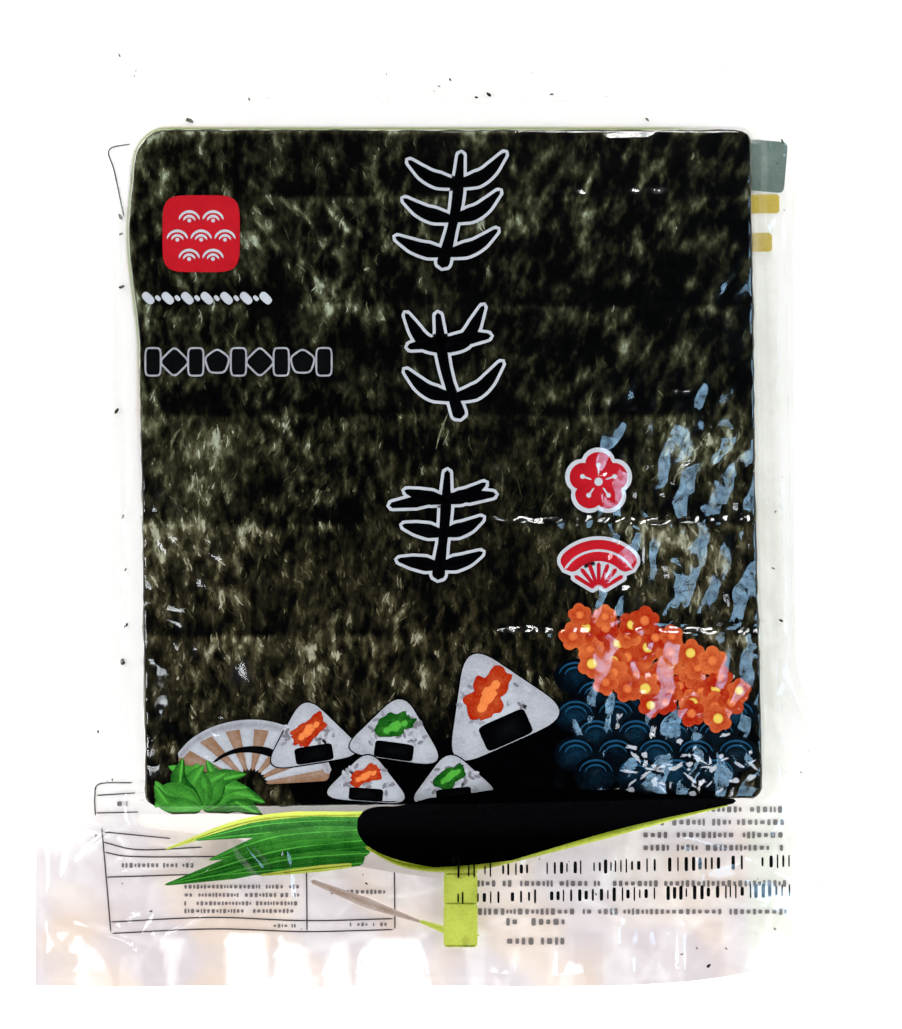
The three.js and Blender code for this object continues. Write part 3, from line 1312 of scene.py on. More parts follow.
@dataclass
class NoriStack:
    """Fifty thin sheets: the top and bottom ones in full, the rest by their rims.

    The blades' length and width are each given as the middle and the spread of its
    logarithm, and sheet_share is how much of the pitch a sheet's thickness takes up.
    """

    form: BagForm
    sheets: int = 50
    top_level: float = 13.15
    bottom_level: float = 0.55
    fine: tuple[int, int] = (268, 292)
    coarse: tuple[int, int] = (60, 66)
    rim_steps: tuple[int, int] = (78, 84)
    rim_depth: float = 5.0
    sheet_share: float = 0.72
    blade_count: int = 6000
    blade_length: Point = (0.62, 0.5)
    blade_width: Point = (-0.9, 0.4)
    blade_arch: float = 0.04
    blade_lift: float = 0.03
    inner_margin: float = 0.012
    # Partly the sheet's own uneven colour, partly painted light and shade from the film's reflections and the
    # lighting; the last two, on the left edge, paint pale tucks of film.
    patches: tuple[Patch, ...] = (
        Patch(-80, 4, 14, 22, 0.28),
        Patch(-68, 20, 8, 12, 0.14),
        Patch(-84, -30, 14, 20, 0.12),
        Patch(-60, -48, 34, 22, 0.11),
        Patch(-28, -42, 30, 20, 0.07),
        Patch(74, -10, 24, 32, 0.24),
        Patch(78, 22, 16, 14, 0.14),
        Patch(30, 18, 18, 20, 0.07),
        Patch(-34, 72, 12, 10, 0.05),
        Patch(25, 108, 12, 10, 0.10),
        Patch(20, 92, 14, 10, 0.10),
        Patch(-62, 84, 24, 20, 0.03),
        Patch(56, 78, 36, 34, -0.12),
        Patch(0, 62, 34, 14, -0.09),
        Patch(-30, 14, 26, 12, -0.03),
        Patch(-50, -20, 44, 44, 0.035),
        Patch(-94, 31, 4.5, 7, 0.36),
        Patch(-92.5, -8, 4, 8, 0.36),
    )

    def relief(self, x: Array, y: Array) -> Array:
        """The top sheet's relief: pressed steps, cockles and a fine grain.

        Args:
            x: Plan places across.
            y: Plan places along.

        Returns:
            The height there.
        """
        line = self.form.from_line(x, y)
        step = 0.07 * np.tanh(-line / 0.7) * np.exp(-((line / 9) ** 2))
        cockle = 0.08 * Noise(11, 21, 2).at(x, y)
        grain = 0.05 * Noise(1.9, 22, 2, (1, 2)).at(x, y)
        return step + cockle + grain

    def tone(self, x: Array, y: Array) -> Array:
        """How light the top sheet is, on the even steps of its finish.

        It has a painted shade above each pressed line and a painted light below it, in broken lengths,
        for how light falls on the pressed steps, with short upright streaks, clumps of them, and the
        broad patches, which are partly painted light. A pale band along the top edge and the upper
        left edge, widest at the top-left corner, paints the film's glint where it folds over the corner.

        Args:
            x: Plan places across.
            y: Plan places along.

        Returns:
            The tone over each place, from 0 to 1.
        """
        line = self.form.from_line(x, y)
        # Painted shade above each pressed line and painted light below it, for how light falls on the pressed
        # steps.
        above = 0.5 + 0.5 * np.tanh(line / 0.7)
        dark = np.clip(0.45 + 1.3 * Noise(20, 66, 2, (1.5, 0.7)).at(x, y), 0.05, 1)
        light = np.clip(0.55 + 1.2 * Noise(15, 67, 2, (1.5, 0.7)).at(x, y), 0.1, 1.2)
        press_light_and_shade = 0.16 * light * np.exp(-((line / 4.5) ** 2)) * (1.0 - above)
        press_light_and_shade = press_light_and_shade - 0.33 * dark * np.exp(-((line / 6.5) ** 2)) * above
        broad = Noise(34, 64, 2).at(x, y)
        bent = x + 1.6 * Noise(14, 61, 2).at(x, y)
        soft = smoothstep(y, 16, 50) * smoothstep(x, -10, 30)
        streak = 0.36 * Noise(2.5, 62, 3, (1, 2.3)).at(bent, y) * (1.0 + 0.5 * broad) * (1.0 - 0.3 * soft)
        streak = streak + 0.38 * soft * Noise(4, 70, 3, (1, 2)).at(x - 0.4 * y, y)
        slant = Noise(3.2, 69, 2, (1, 4.4)).at(0.77 * bent + 0.64 * y, 0.64 * bent - 0.77 * y)
        slant = 0.72 * np.maximum(slant, 0) * np.exp(-(((x + 52) / 26) ** 2) - ((y - 86) / 20) ** 2)
        # A pale band just inside the top edge and the upper left edge, three times as wide at the top-left
        # corner, where it paints the glint of the film folded over the corner.
        inside = -self.form.stack.outside(x, y)[0]
        corner = smoothstep(-x, 78, 88) * smoothstep(y, 104, 112)
        pale_rim_and_corner_glint = np.exp(-((inside / (1.0 + 2.0 * corner)) ** 2)) * smoothstep(y, 20, 80)
        pale_rim_and_corner_glint = pale_rim_and_corner_glint * smoothstep(-x, -88, -74)
        clump = lerp(0.19, 0.31, smoothstep(y, -10, 50)) * Noise(12, 63, 3, (1, 1.2)).at(x, y)
        # The patches, partly painted light, are brightened further in flaky bits.
        patch_tone_and_light = sum(patch.over(x, y) for patch in self.patches)
        flake = np.clip(Noise(5.5, 68, 2, (0.8, 1.7)).at(bent, y) - 0.35, 0, 1)
        level = 0.32 + press_light_and_shade + streak + slant + clump + 0.05 * broad + 0.34 * pale_rim_and_corner_glint
        return np.clip(level + patch_tone_and_light * (1.0 + 2.6 * flake), 0, 1)

    def _ragged(self, u: Array, v: Array, seed: int, size: float) -> Pair:
        """Plan points of a sheet whose edges wander by a size in millimetres.

        Args:
            u: Shares of the way across.
            v: Shares of the way up.
            seed: The seed of its wander.
            size: How far it wanders.

        Returns:
            The x and the y of every point.
        """
        x, y = self.form.stack.place(u, v)
        near_side = np.exp(-np.minimum(u, 1.0 - u) * 90)
        near_end = np.exp(-np.minimum(v, 1.0 - v) * 90)
        x = x + size * near_side * Noise(7, seed, 3).at(x * 0.2, y)
        y = y + size * near_end * Noise(7, seed + 1, 3).at(x, y * 0.2)
        return x, y

    def _full_sheet(self, cells: tuple[int, int], level: float, seed: int) -> Array:
        """A sheet's upper face on a grid, without relief.

        Args:
            cells: How many cells it has each way.
            level: Its height.
            seed: The seed of its edges.

        Returns:
            The grid of points.
        """
        u, v = np.meshgrid(np.linspace(0, 1, cells[0] + 1), np.linspace(0, 1, cells[1] + 1))
        x, y = self._ragged(u, v, seed, 0.25)
        return points_of(x, y, level)

    def surface(self, x: Array, y: Array) -> Array:
        """The top sheet's height over plan points."""
        return self.top_level + self.relief(x, y) - 1.05 * self.form.shoulder(x, y)

    def _top_sheet(self) -> MeshParts:
        """The sheet that shows, with its relief and its tones.

        Returns:
            The sheet's parts.
        """
        points = self._full_sheet(self.fine, self.top_level, 31)
        x, y = points[..., 0], points[..., 1]
        points[..., 2] = self.surface(x, y)
        parts = MeshParts()
        parts.add_grids(points, self.tone(x, y))
        return parts

    def _blades(self) -> MeshParts:
        """Thousands of small blades that lie on the top sheet, drawn paler as painted glints.

        Each is a strip of four rows and three columns that narrows at both ends and
        is a little arched. A place is kept by chance, more often where the sheet
        looks lit, and the blades follow a slowly turning direction.

        Returns:
            The blades' parts.
        """
        rng = np.random.default_rng(77)
        tries = self.blade_count * 4
        u, v = rng.uniform(self.inner_margin, 1.0 - self.inner_margin, (2, tries))
        x, y = self.form.stack.place(u, v)
        tone = self.tone(x, y)
        clump = 0.5 + 0.5 * Noise(6, 78, 2).at(x, y)
        bare = smoothstep(y, 0, 45) * lerp(0.6, 0.93, smoothstep(x, -20, 20))
        chance = np.clip(tone**2 * (0.2 + clump) * (1.0 - bare), 0.002, None)
        keep = np.argsort(rng.uniform(size=tries) / chance)[: self.blade_count]
        x, y, tone = (part[keep][:, None, None] for part in (x, y, tone))
        angle = np.radians(92.0 + 34.0 * Noise(38, 79, 2).at(x, y) + rng.normal(0, 19, x.shape))
        length = np.exp(rng.normal(*self.blade_length, x.shape))
        width = np.exp(rng.normal(*self.blade_width, x.shape))
        share = np.array([-0.5, -0.2, 0.22, 0.5])[None, :, None]
        aside = np.array([-0.5, 0, 0.5])[None, None, :]
        taper = np.array([0.12, 1, 0.85, 0.08])[None, :, None]
        curl = rng.normal(0, 0.22, x.shape) * (4.0 * share**2 - 0.5)
        across = -width * taper * aside + curl * length * 0.5
        place_x, place_y = turned((x, y), length * share, across, angle)
        arch = self.blade_arch * (1.0 - 4.0 * aside**2) * taper
        lift = self.blade_lift * (1.0 + rng.uniform(size=x.shape))
        height = self.surface(place_x, place_y) + lift + arch
        # Painted glint: each blade is drawn a little paler than the sheet under it, some much paler.
        painted_glint_tone = np.clip(tone + 0.02 + 0.29 * rng.uniform(size=x.shape) ** 3, 0, 1)
        parts = MeshParts()
        parts.add_grids(points_of(place_x, place_y, height), painted_glint_tone)
        return parts

    def _rims(self) -> MeshParts:
        """The rims of the sheets between the top and the bottom one.

        Each rim is a flat closed ring, the sheet's thickness high and rim_depth deep.
        Its outer edge wanders, each sheet lies a little askew, and the upper sheets
        droop with the rounded shoulder.

        Returns:
            The rims' parts.
        """
        across, along = self.rim_steps
        run_u = np.linspace(0, 1, across, endpoint=False)
        run_v = np.linspace(0, 1, along, endpoint=False)
        u = np.concatenate([run_u, np.ones(along), 1.0 - run_u, np.zeros(along)])
        v = np.concatenate([np.zeros(across), run_v, np.ones(across), 1.0 - run_v])
        parts = MeshParts()
        rng = np.random.default_rng(50)
        middle_x, middle_y = self.form.stack.middle
        pitch = (self.top_level - self.bottom_level) / (self.sheets - 1)
        thickness = self.sheet_share * pitch
        for sheet in range(1, self.sheets - 1):
            x, y = self._ragged(u, v, 100 + 2 * sheet, 0.45)
            shift_x, shift_y = rng.normal(0, 0.28, 2)
            turn = rng.normal(0, 0.0011)
            out_x = x + shift_x - turn * (y - middle_y)
            out_y = y + shift_y + turn * (x - middle_x)
            in_x = middle_x + (out_x - middle_x) * (1.0 - self.rim_depth / 95)
            in_y = middle_y + (out_y - middle_y) * (1.0 - self.rim_depth / 104)
            droop = self.form.shoulder_drop * (sheet / (self.sheets - 1)) ** 2
            level = self.bottom_level + pitch * sheet + 0.10 * Noise(16, 300 + sheet, 2).at(out_x, out_y)
            inner_top = points_of(in_x, in_y, level + thickness - 0.3 * droop)
            outer_top = points_of(out_x, out_y, level + thickness - droop)
            outer_low = points_of(out_x, out_y, level - droop)
            inner_low = points_of(in_x, in_y, level - 0.3 * droop)
            ring = np.stack([inner_top, outer_top, outer_low, inner_low, inner_top], axis=1)
            parts.add_grids(ring, rng.uniform(0.3, 0.75), wrap=True, flip=True)
        return parts

    def build(self) -> None:
        """Makes the top sheet, its blades, the rims between, and the bottom sheet."""
        nori = NoriFinish("toasted_nori").material()
        attach(self._top_sheet().build("nori_top_sheet", nori), "nori")
        pale = NoriFinish("pale_seaweed", grain_size=0.6, grain_share=0.2, roughness=0.4).material()
        attach(self._blades().build("nori_blades", pale), "nori")
        attach(self._rims().build("nori_sheet_rims", nori), "nori")
        bottom = MeshParts()
        points = self._full_sheet(self.coarse, self.bottom_level, 35)
        points[..., 2] += 0.08 * Noise(12, 36, 2).at(points[..., 0], points[..., 1])
        bottom.add_grids(points, self.tone(points[..., 0], points[..., 1]), flip=True)
        attach(bottom.build("nori_bottom_sheet", nori), "nori")


# ---- The print ----


def polygon(sides: int, power: float = 8) -> Outline:
    """A polygon with round corners, by its radius at an angle.

    The radius is 1 over the power mean of the cosines to the sides' normals: the
    larger the power, the sharper the corners. One corner of an odd polygon is up.

    Args:
        sides: How many sides it has.
        power: How sharp its corners are.

    Returns:
        The outline's function.
    """

    def radius(angle: Array) -> Array:
        """The radius at each angle.

        Args:
            angle: Angles in radians.

        Returns:
            The radius at each.
        """
        normals = np.radians(-90.0 + 360.0 * np.arange(sides) / sides)
        cosines = np.maximum(np.cos(angle[..., None] - normals), 0)
        return np.sum(cosines**power, axis=-1) ** (-1.0 / power)

    return radius


def petals(count: int, depth: float) -> Outline:
    """A blossom's outline: its radius dips by depth between round petals."""
    return lambda angle: 1.0 - depth + depth * np.abs(np.cos(0.5 * count * (angle - math.pi / 2))) ** 0.6


def rough_edge(seed: int, depth: float) -> Outline:
    """A round outline that wanders by depth."""
    return lambda angle: 1.0 + depth * Noise(0.6, seed, 2).at(3.0 + np.cos(angle), 3.0 + np.sin(angle))


def circle(angle: Array) -> Array:
    """The outline of a circle."""
    return np.ones_like(angle)


@dataclass
class PrintSheet:
    """The print on one layer of film: one mesh for each ink.

    Later layers lie a hair above earlier ones, so that they cover them.
    """

    name: str
    level: Surface
    layer_step: float = 0.008
    shape_step: float = 0.025
    cell: float = 0.85
    look_ahead: float = 0.3
    inks: dict[Ink, MeshParts] = field(default_factory=dict)
    shapes: int = 0

    def _place(self, x: Array, y: Array, layer: float) -> Array:
        """Plan points with their height above the print's level.

        Shapes of one layer lie a small part of its step apart, so that none is coplanar.

        Args:
            x: Plan places across.
            y: Plan places along.
            layer: How many layers they lie above the first.

        Returns:
            The points, with a last axis of 3.
        """
        height = self.layer_step * (layer + self.shape_step * (self.shapes % 5))
        return points_of(x, y, height)

    def shape(
        self,
        ink: Ink,
        centre: Point,
        size: Point,
        outline: Outline = circle,
        turn: float = 0,
        layer: float = 0,
        tone: Point = (0.5, 0.5),
        grow: float = 0,
    ) -> None:
        """Prints a filled shape given by its radius at each angle.

        Args:
            ink: The ink.
            centre: The shape's middle.
            size: Its width and height where the outline's radius is 1.
            outline: The radius at an angle, 1 for a circle.
            turn: How far it is turned, in degrees.
            layer: How many layers it lies above the first.
            tone: The ink's tone at the middle and at the rim.
            grow: How far the rim is pushed outwards, in millimetres.
        """
        self.shapes += 1
        reach = max(size) / 2 + grow
        steps = max(14, math.ceil(2 * math.pi * reach / self.cell))
        rings = max(2, math.ceil(reach / self.cell))
        angle = np.linspace(0, 2 * math.pi, steps, endpoint=False)[:, None]
        share = np.linspace(1.0 / rings, 1, rings)[None, :]
        radius = outline(angle)
        out_x = share * np.cos(angle) * (radius * size[0] / 2 + grow)
        out_y = share * np.sin(angle) * (radius * size[1] / 2 + grow)
        x, y = turned(centre, out_x, out_y, math.radians(turn))
        middle = self._place(np.array([centre[0]]), np.array([centre[1]]), layer)
        parts = self.inks.setdefault(ink, MeshParts())
        parts.add_disc(middle, self._place(x, y, layer), lerp(tone[0], tone[1], share) + 0.0 * angle)

    def stroke(
        self,
        ink: Ink,
        points: Sequence[Point],
        widths: Sequence[float],
        layer: float = 0,
        tone: Point = (0.5, 0.5),
        grow: float = 0,
    ) -> None:
        """Prints a brush stroke along a smooth path, with round ends.

        Args:
            ink: The ink.
            points: The points that its middle line passes.
            widths: Its widths at even steps from its start to its end.
            layer: How many layers it lies above the first.
            tone: The ink's tone at the middle line and at its edges.
            grow: How far its edges and ends are pushed outwards, in millimetres.
        """
        self.shapes += 1
        rough = smooth_path(points, 60)
        run = np.concatenate([[0], np.cumsum(np.hypot(*np.diff(rough, axis=0).T))])
        length = run[-1]
        samples = max(6, math.ceil((length + 2 * grow) / self.cell) + 1)
        place = np.linspace(-grow, length + grow, samples)
        clamped = np.clip(place, 0, length)

        def along(way: Array) -> Array:
            """The points that lie a way along the middle line."""
            way = np.clip(way, 0, length)
            return np.stack([np.interp(way, run, rough[:, axis]) for axis in (0, 1)], axis=-1)

        step = along(clamped + self.look_ahead) - along(clamped - self.look_ahead)
        tangent = step / np.linalg.norm(step, axis=-1, keepdims=True)
        path = along(clamped) + tangent * (place - clamped)[:, None]
        half = np.interp(clamped / length, np.linspace(0, 1, len(widths)), np.asarray(widths) / 2) + grow
        to_end = np.minimum(place + grow, length + grow - place)
        cap = np.clip(to_end / np.maximum(np.minimum(half, length / 2), 1e-6), 0, 1)
        half = half * np.sqrt(1.0 - (1.0 - cap) ** 2) + 0.01
        columns = max(3, 2 * math.ceil(max(half) / self.cell) + 1)
        aside = np.linspace(-1, 1, columns)[None, :]
        x = path[:, :1] + tangent[:, 1:] * aside * half[:, None]
        y = path[:, 1:] - tangent[:, :1] * aside * half[:, None]
        tones = lerp(tone[0], tone[1], np.abs(aside)) + 0.0 * half[:, None]
        self.inks.setdefault(ink, MeshParts()).add_grids(self._place(x, y, layer), tones)

    def build(self) -> None:
        """Makes each ink's mesh and dresses it."""
        for ink, parts in self.inks.items():
            name = f"{self.name}_{ink.slot}"
            attach(parts.build(name, ink.look.material(name), self.level), ink.slot)


@dataclass
class Motif:
    """Something printed, which holds the sheet that it is printed on."""

    sheet: PrintSheet


@dataclass
class SealAndLines(Motif):
    """A red seal with a wave ornament, and two rows of small pale ornaments."""

    seal_at: Point = (-77.6, 87.3)
    seal_size: float = 24.0
    scale_pitch: float = 7.4
    row_y: float = 67.2
    row_span: Point = (-94, -57.5)
    lozenge_y: float = 47.4
    lozenge_span: Point = (-92.4, -39.4)
    outline: float = 0.6

    def draw(self) -> None:
        """Prints the seal, the thin row and the row of lozenges."""
        seal_size = (self.seal_size, self.seal_size)
        self.sheet.shape(Ink.RED, self.seal_at, seal_size, polygon(4, 5), tone=(0.75, 0.6))
        for row, (count, y) in enumerate(((2, 3.6), (3, -2.4), (2, -8.4))):
            for index in range(count):
                x = self.seal_at[0] + (index - (count - 1) / 2) * self.scale_pitch
                self._wave(x, self.seal_at[1] + y, row)
        for index, x in enumerate(np.linspace(*self.row_span, 13)):
            size = (1.3, 2) if index % 2 else (2.6, 4.4)
            self.sheet.shape(Ink.WHITE, (x, self.row_y), size, polygon(4, 3), 45, 1, (0.9, 0.8))
        for index, x in enumerate(np.linspace(*self.lozenge_span, 9)):
            size = (6.2, 6.2) if index % 2 else (4.2, 8)
            turn = 45.0 if index % 4 == 1 else 0.0
            edge = polygon(4 if index % 2 == 0 or turn else 5, 7)
            for ink, layer, grow in ((Ink.WHITE, 1, self.outline), (Ink.BLACK, 2, 0)):
                self.sheet.shape(ink, (x, self.lozenge_y), size, edge, turn, layer, grow=grow)

    def _wave(self, x: float, y: float, row: int) -> None:
        """Prints one scale of the wave ornament: two arcs over a dot.

        Args:
            x: Where its middle is across.
            y: Where its middle is along.
            row: Its row, for its layer.
        """
        for radius in (3.3, 1.9):
            bow = arc((x, y), (radius, radius), 12, 168, 7)
            self.sheet.stroke(Ink.WHITE, bow, (0.55, 0.85, 0.55), 2 + row, (0.95, 0.9))
        self.sheet.shape(Ink.WHITE, (x, y + 0.5), (1.2, 1.2), circle, 0, 2 + row, (0.95, 0.95))


@dataclass
class Frond(Motif):
    """A sea plant as from a broad brush: a bent stem with blades on both sides."""

    at: Point
    height: float
    blade_pairs: int
    reach: float
    rise: float
    lean: float
    crossbar: float
    outline: float = 0.95

    def strokes(self) -> list[tuple[list[Point], tuple[float, ...]]]:
        """The strokes, each as its points and its widths.

        Returns:
            The strokes, from the stem on.
        """
        x, y = self.at
        bottom = y - self.height / 2
        stem = [(x - self.lean, bottom), (x + 0.4 * self.lean, y), (x + self.lean, y + self.height / 2)]
        found = [(stem, (4.2, 2.8, 3.4, 1.6))]
        for pair in range(self.blade_pairs):
            share = (pair + 0.5) / self.blade_pairs
            root_y = bottom + self.height * share * 0.9
            root_x = x + self.lean * (1.6 * share - 0.8)
            reach = self.reach * (1.0 - 0.4 * abs(share - 0.45) - 0.14 * (pair % 2))
            for side in (-1, 1):
                lift = self.rise * (0.7 + 0.5 * share) + 1.2 * side
                mid = (root_x + side * reach * 0.55, root_y + 0.2 * lift)
                tip = (root_x + side * reach, root_y + lift)
                found.append(([(root_x, root_y - 1), mid, tip], (2.4, 4.4, 3.4, 1)))
        if self.crossbar:
            bar_y = y + self.height * 0.22
            bar = [(x - self.crossbar, bar_y - 1.5), (x, bar_y + 0.8), (x + self.crossbar, bar_y + 2)]
            found.append((bar, (1.6, 3.6, 2, 4.2, 1.4)))
        return found

    def draw(self) -> None:
        """Prints the pale outline below and the black strokes over it."""
        for points, widths in self.strokes():
            self.sheet.stroke(Ink.WHITE, points, widths, 1, (0.75, 0.85), self.outline)
        for points, widths in self.strokes():
            self.sheet.stroke(Ink.BLACK, points, widths, 2, (0.1, 0.3))


@dataclass
class RedOrnaments(Motif):
    """A plum blossom over a folding fan, both red with a pale outline."""

    blossom_at: Point = (45.7, 10.2)
    fan_at: Point = (45.7, -23.6)
    outline: float = 1.1

    def draw(self) -> None:
        """Prints both ornaments."""
        at = self.blossom_at
        pale = (0.9, 0.95)
        self.sheet.shape(Ink.WHITE, at, (19, 19), petals(5, 0.24), layer=1, tone=pale, grow=self.outline)
        self.sheet.shape(Ink.RED, at, (18.4, 18.4), petals(5, 0.26), layer=2, tone=(0.8, 0.45))
        for near, far in zip(arc(at, (2.2, 2.2), 90, 378, 5), arc(at, (5.2, 5.2), 90, 378, 5)):
            self.sheet.stroke(Ink.WHITE, [near, far], (0.5, 0.5), 3, (0.9, 0.9))
            self.sheet.shape(Ink.WHITE, far, (1.5, 1.5), layer=3, tone=(0.95, 0.95))
        self.sheet.shape(Ink.WHITE, at, (2.6, 2.6), layer=3, tone=(0.95, 0.95))
        self._fan()

    def _fan(self) -> None:
        """Prints the fan: a bent leaf over seven ribs."""
        near, far, leaf = (arc(self.fan_at, (r, r), 32, 148, 7) for r in (1.5, 9, 12.5))
        ribs = list(zip(near, far))
        self.sheet.stroke(Ink.WHITE, leaf, (6.6, 6.6), 1, (0.9, 0.9), self.outline)
        for rib in ribs:
            self.sheet.stroke(Ink.WHITE, rib, (1.1, 1.3), 1, (0.9, 0.9), self.outline)
        for rib in ribs:
            self.sheet.stroke(Ink.RED, rib, (1.1, 1.3), 2, (0.6, 0.5))
        self.sheet.stroke(Ink.RED, leaf, (6.6, 6.6), 2, (0.8, 0.5))
        self.sheet.stroke(Ink.WHITE, leaf, (0.7, 0.7), 3, (0.85, 0.85))


@dataclass
class LowerPicture(Motif):
    """The lower picture: rice balls, blossoms over waves, a fan and curled leaves."""

    rice_balls: tuple[tuple[Point, Point, float, bool], ...] = (
        ((-43, -69.5), (19, 14.5), 9, True),
        ((-17, -68.5), (19.5, 14.5), -8, False),
        ((14, -60), (25, 23), 24, True),
        ((-26, -83), (17, 11), -4, True),
        ((0.5, -83), (17.5, 11), 6, False),
    )
    fan_at: Point = (-62, -84)
    leaves_at: Point = (-77, -91)
    leaves_stop: float = -91.5
    blossoms_at: Point = (63, -47)
    waves_low: Point = (32, -88.5)
    waves_high: Point = (95.5, -50)
    blossom_count: int = 44
    drop_count: int = 46

    def draw(self) -> None:
        """Prints the whole picture, from what lies farthest back."""
        self._ground()
        self._waves()
        self._blossoms()
        self._fan()
        for index, (at, size, turn, orange) in enumerate(self.rice_balls):
            self._rice_ball(at, size, turn, orange, index)
        self._leaves()

    def _ground(self) -> None:
        """Prints the black ground that the picture stands on."""
        points = [(-50, -84), (0, -79), (40, -76), (91, -74)]
        self.sheet.stroke(Ink.BLACK, points, (12, 20, 24, 26), 0, (0, 0.1))

    def _waves(self) -> None:
        """Prints rows of overlapping round waves, the lower rows over the upper."""
        rng = np.random.default_rng(90)
        for row in range(7):
            y = self.waves_high[1] - 6.0 * row
            for index in range(6):
                x = self.waves_low[0] + 6.5 + 12.4 * index + 6.2 * (row % 2)
                mound = self.waves_high[1] + 2.0 - 0.008 * (x - 52) ** 2
                if x > self.waves_high[0] - 4.0 or y > mound or y < self.waves_low[1] + 5.5:
                    continue
                light = 0.1 + 0.4 * rng.uniform()
                self.sheet.shape(Ink.NAVY, (x, y), (13.4, 11), circle, 0, 2 + row, (light, 0))
                for radius in (5.2, 3.4):
                    crest = arc((x, y), (radius, 0.8 * radius), 8, 172, 7)
                    self.sheet.stroke(Ink.NAVY, crest, (0.25, 0.7, 0.25), 2.5 + row, (1, 0.7))
        for index in range(self.drop_count):
            centre = (rng.uniform(54, 94), np.clip(rng.normal(-79, 4.5), -86.5, -68))
            drop = (rng.uniform(0.8, 4.4), rng.uniform(0.5, 1.8))
            turn = rng.uniform(-50, 50)
            self.sheet.shape(Ink.WHITE, centre, drop, rough_edge(960 + index, 0.7), turn, 9, (0.95, 0.6))

    def _blossoms(self) -> None:
        """Prints a bank of small orange blossoms, spread by the golden angle."""
        rng = np.random.default_rng(91)
        for index in range(self.blossom_count):
            spread = math.sqrt((index + 0.5) / self.blossom_count)
            angle = GOLDEN_ANGLE * index
            out_x, out_y = 27.0 * spread * math.cos(angle), 13.0 * spread * math.sin(angle)
            centre = (self.blossoms_at[0] + out_x + 0.12 * out_y, self.blossoms_at[1] + out_y - 0.42 * out_x)
            size = rng.uniform(7.4, 9.8)
            turn = rng.uniform(0, 72)
            light = rng.uniform(0, 0.75)
            layer = 9 + 0.3 * index
            tone = (light * 0.3, 0.12 + 0.6 * light)
            self.sheet.shape(Ink.ORANGE, centre, (size, size), petals(5, 0.3), turn, layer, tone)
            ink = Ink.YELLOW if index % 3 == 0 else Ink.ORANGE
            self.sheet.shape(ink, centre, (0.34 * size, 0.34 * size), layer=layer + 0.2, tone=(0.9, 0.4))

    def _fan(self) -> None:
        """Prints a pale fan with tan folds."""
        near = arc(self.fan_at, (5, 5), 14, 150, 13)
        far = arc(self.fan_at, (25.5, 19.5), 14, 150, 13)
        looks = ((Ink.CREAM, (0.25, 0.1)), (Ink.WHITE, (0.75, 0.55)))
        for index, ends in enumerate(zip(near, far)):
            ink, tone = looks[index % 2]
            self.sheet.stroke(ink, ends, (1, 3.4, 5.8), 3 + 0.2 * index, tone)
        rim = arc(self.fan_at, (25, 19.2), 12, 152, 9)
        self.sheet.stroke(Ink.WHITE, rim, (2.2, 3, 2.2), 7, (0.35, 0.6))
        inner = arc(self.fan_at, (15, 11.5), 30, 140, 7)
        self.sheet.stroke(Ink.BLACK, inner, (0.6, 2.6, 1.6, 0.6), 8, (0.3, 0.2))

    def _rice_ball(
        self, at: Point, size: Point, turn: float, orange: bool, index: int
    ) -> None:
        """Prints a rounded triangle of rice grains with a filling and a dark band.

        Args:
            at: The triangle's middle.
            size: Its width and height.
            turn: How far it is turned, in degrees.
            orange: Whether its filling is orange, not green.
            index: Its number, for its layer and its random draws.
        """
        layer = 8 + 2.6 * index
        corners = polygon(3, 3)
        self.sheet.shape(Ink.BLACK, at, size, corners, turn, layer, (0.1, 0.1), 0.45)
        self.sheet.shape(Ink.WHITE, at, size, corners, turn, layer + 0.5, (0.85, 0.55))
        rng = np.random.default_rng(920 + index)

        def spot(across: float, up: float) -> Point:
            """A place in the rice ball, in shares of its half size."""
            return turned(at, across * size[0] / 2, up * size[1] / 2, math.radians(turn))

        for _ in range(int(size[0] * 3.4)):
            angle, out = rng.uniform(0, 2 * math.pi), 0.95 * math.sqrt(rng.uniform())
            light = rng.uniform(0, 1)
            grain = spot(out * math.cos(angle), out * math.sin(angle) + 0.1)
            aside = rng.uniform(0, 180)
            self.sheet.shape(Ink.WHITE, grain, (2.1, 1), circle, aside, layer + 0.9, (light, light - 0.2))
        ink = Ink.ORANGE if orange else Ink.GREEN
        blobs = ((1, 930, 0.4, 30, 1.4, (0.4, 0.15)), (0.4, 940, 0.3, 40, 1.7, (0.95, 0.8)))
        fillings = ((-0.05, 0.42, 0.62, 0.5), (-0.3, 0.2, 0.34, 0.34), (0.22, 0.6, 0.3, 0.3))
        for across, up, wide, tall in fillings:
            for part, seed, rough, more, above, tone in blobs:
                blob = (part * wide * size[0], part * tall * size[1])
                edge = rough_edge(seed + index, rough)
                self.sheet.shape(ink, spot(across, up), blob, edge, turn + more, layer + above, tone)
        band = (0.62 * size[0], 0.36 * size[1])
        self.sheet.shape(Ink.BLACK, spot(0, -0.62), band, polygon(4, 9), turn, layer + 2.1, (0.5, 0.1))

    def _leaves(self) -> None:
        """Prints a tuft of curled green leaves."""
        rng = np.random.default_rng(95)
        x, y = self.leaves_at
        for index, degrees in enumerate(np.linspace(4, 176, 19)):
            angle = math.radians(degrees + rng.normal(0, 6))
            length = rng.uniform(12, 17) * (1.0 + 0.3 * abs(math.cos(angle)))
            side = rng.choice([-1, 1])
            curl = angle + side * 0.8
            mid = (x + 0.55 * length * math.cos(angle), y + 0.5 * length * math.sin(angle) + 1)
            end = (mid[0] + 0.5 * length * math.cos(curl), mid[1] + 0.42 * length * math.sin(curl))
            mid, end = ((max(place[0], self.leaves_stop), place[1]) for place in (mid, end))
            layer = 9 + 0.6 * index
            light = rng.uniform(0.1, 0.55)
            self.sheet.stroke(Ink.GREEN, [(x, y), mid, end], (2.5, 6.4, 5, 0.8), layer, (light + 0.25, light))
            self.sheet.stroke(Ink.GREEN, [mid, end], (0.5, 0.9, 0.3), layer + 0.3, (0.95, 0.8))


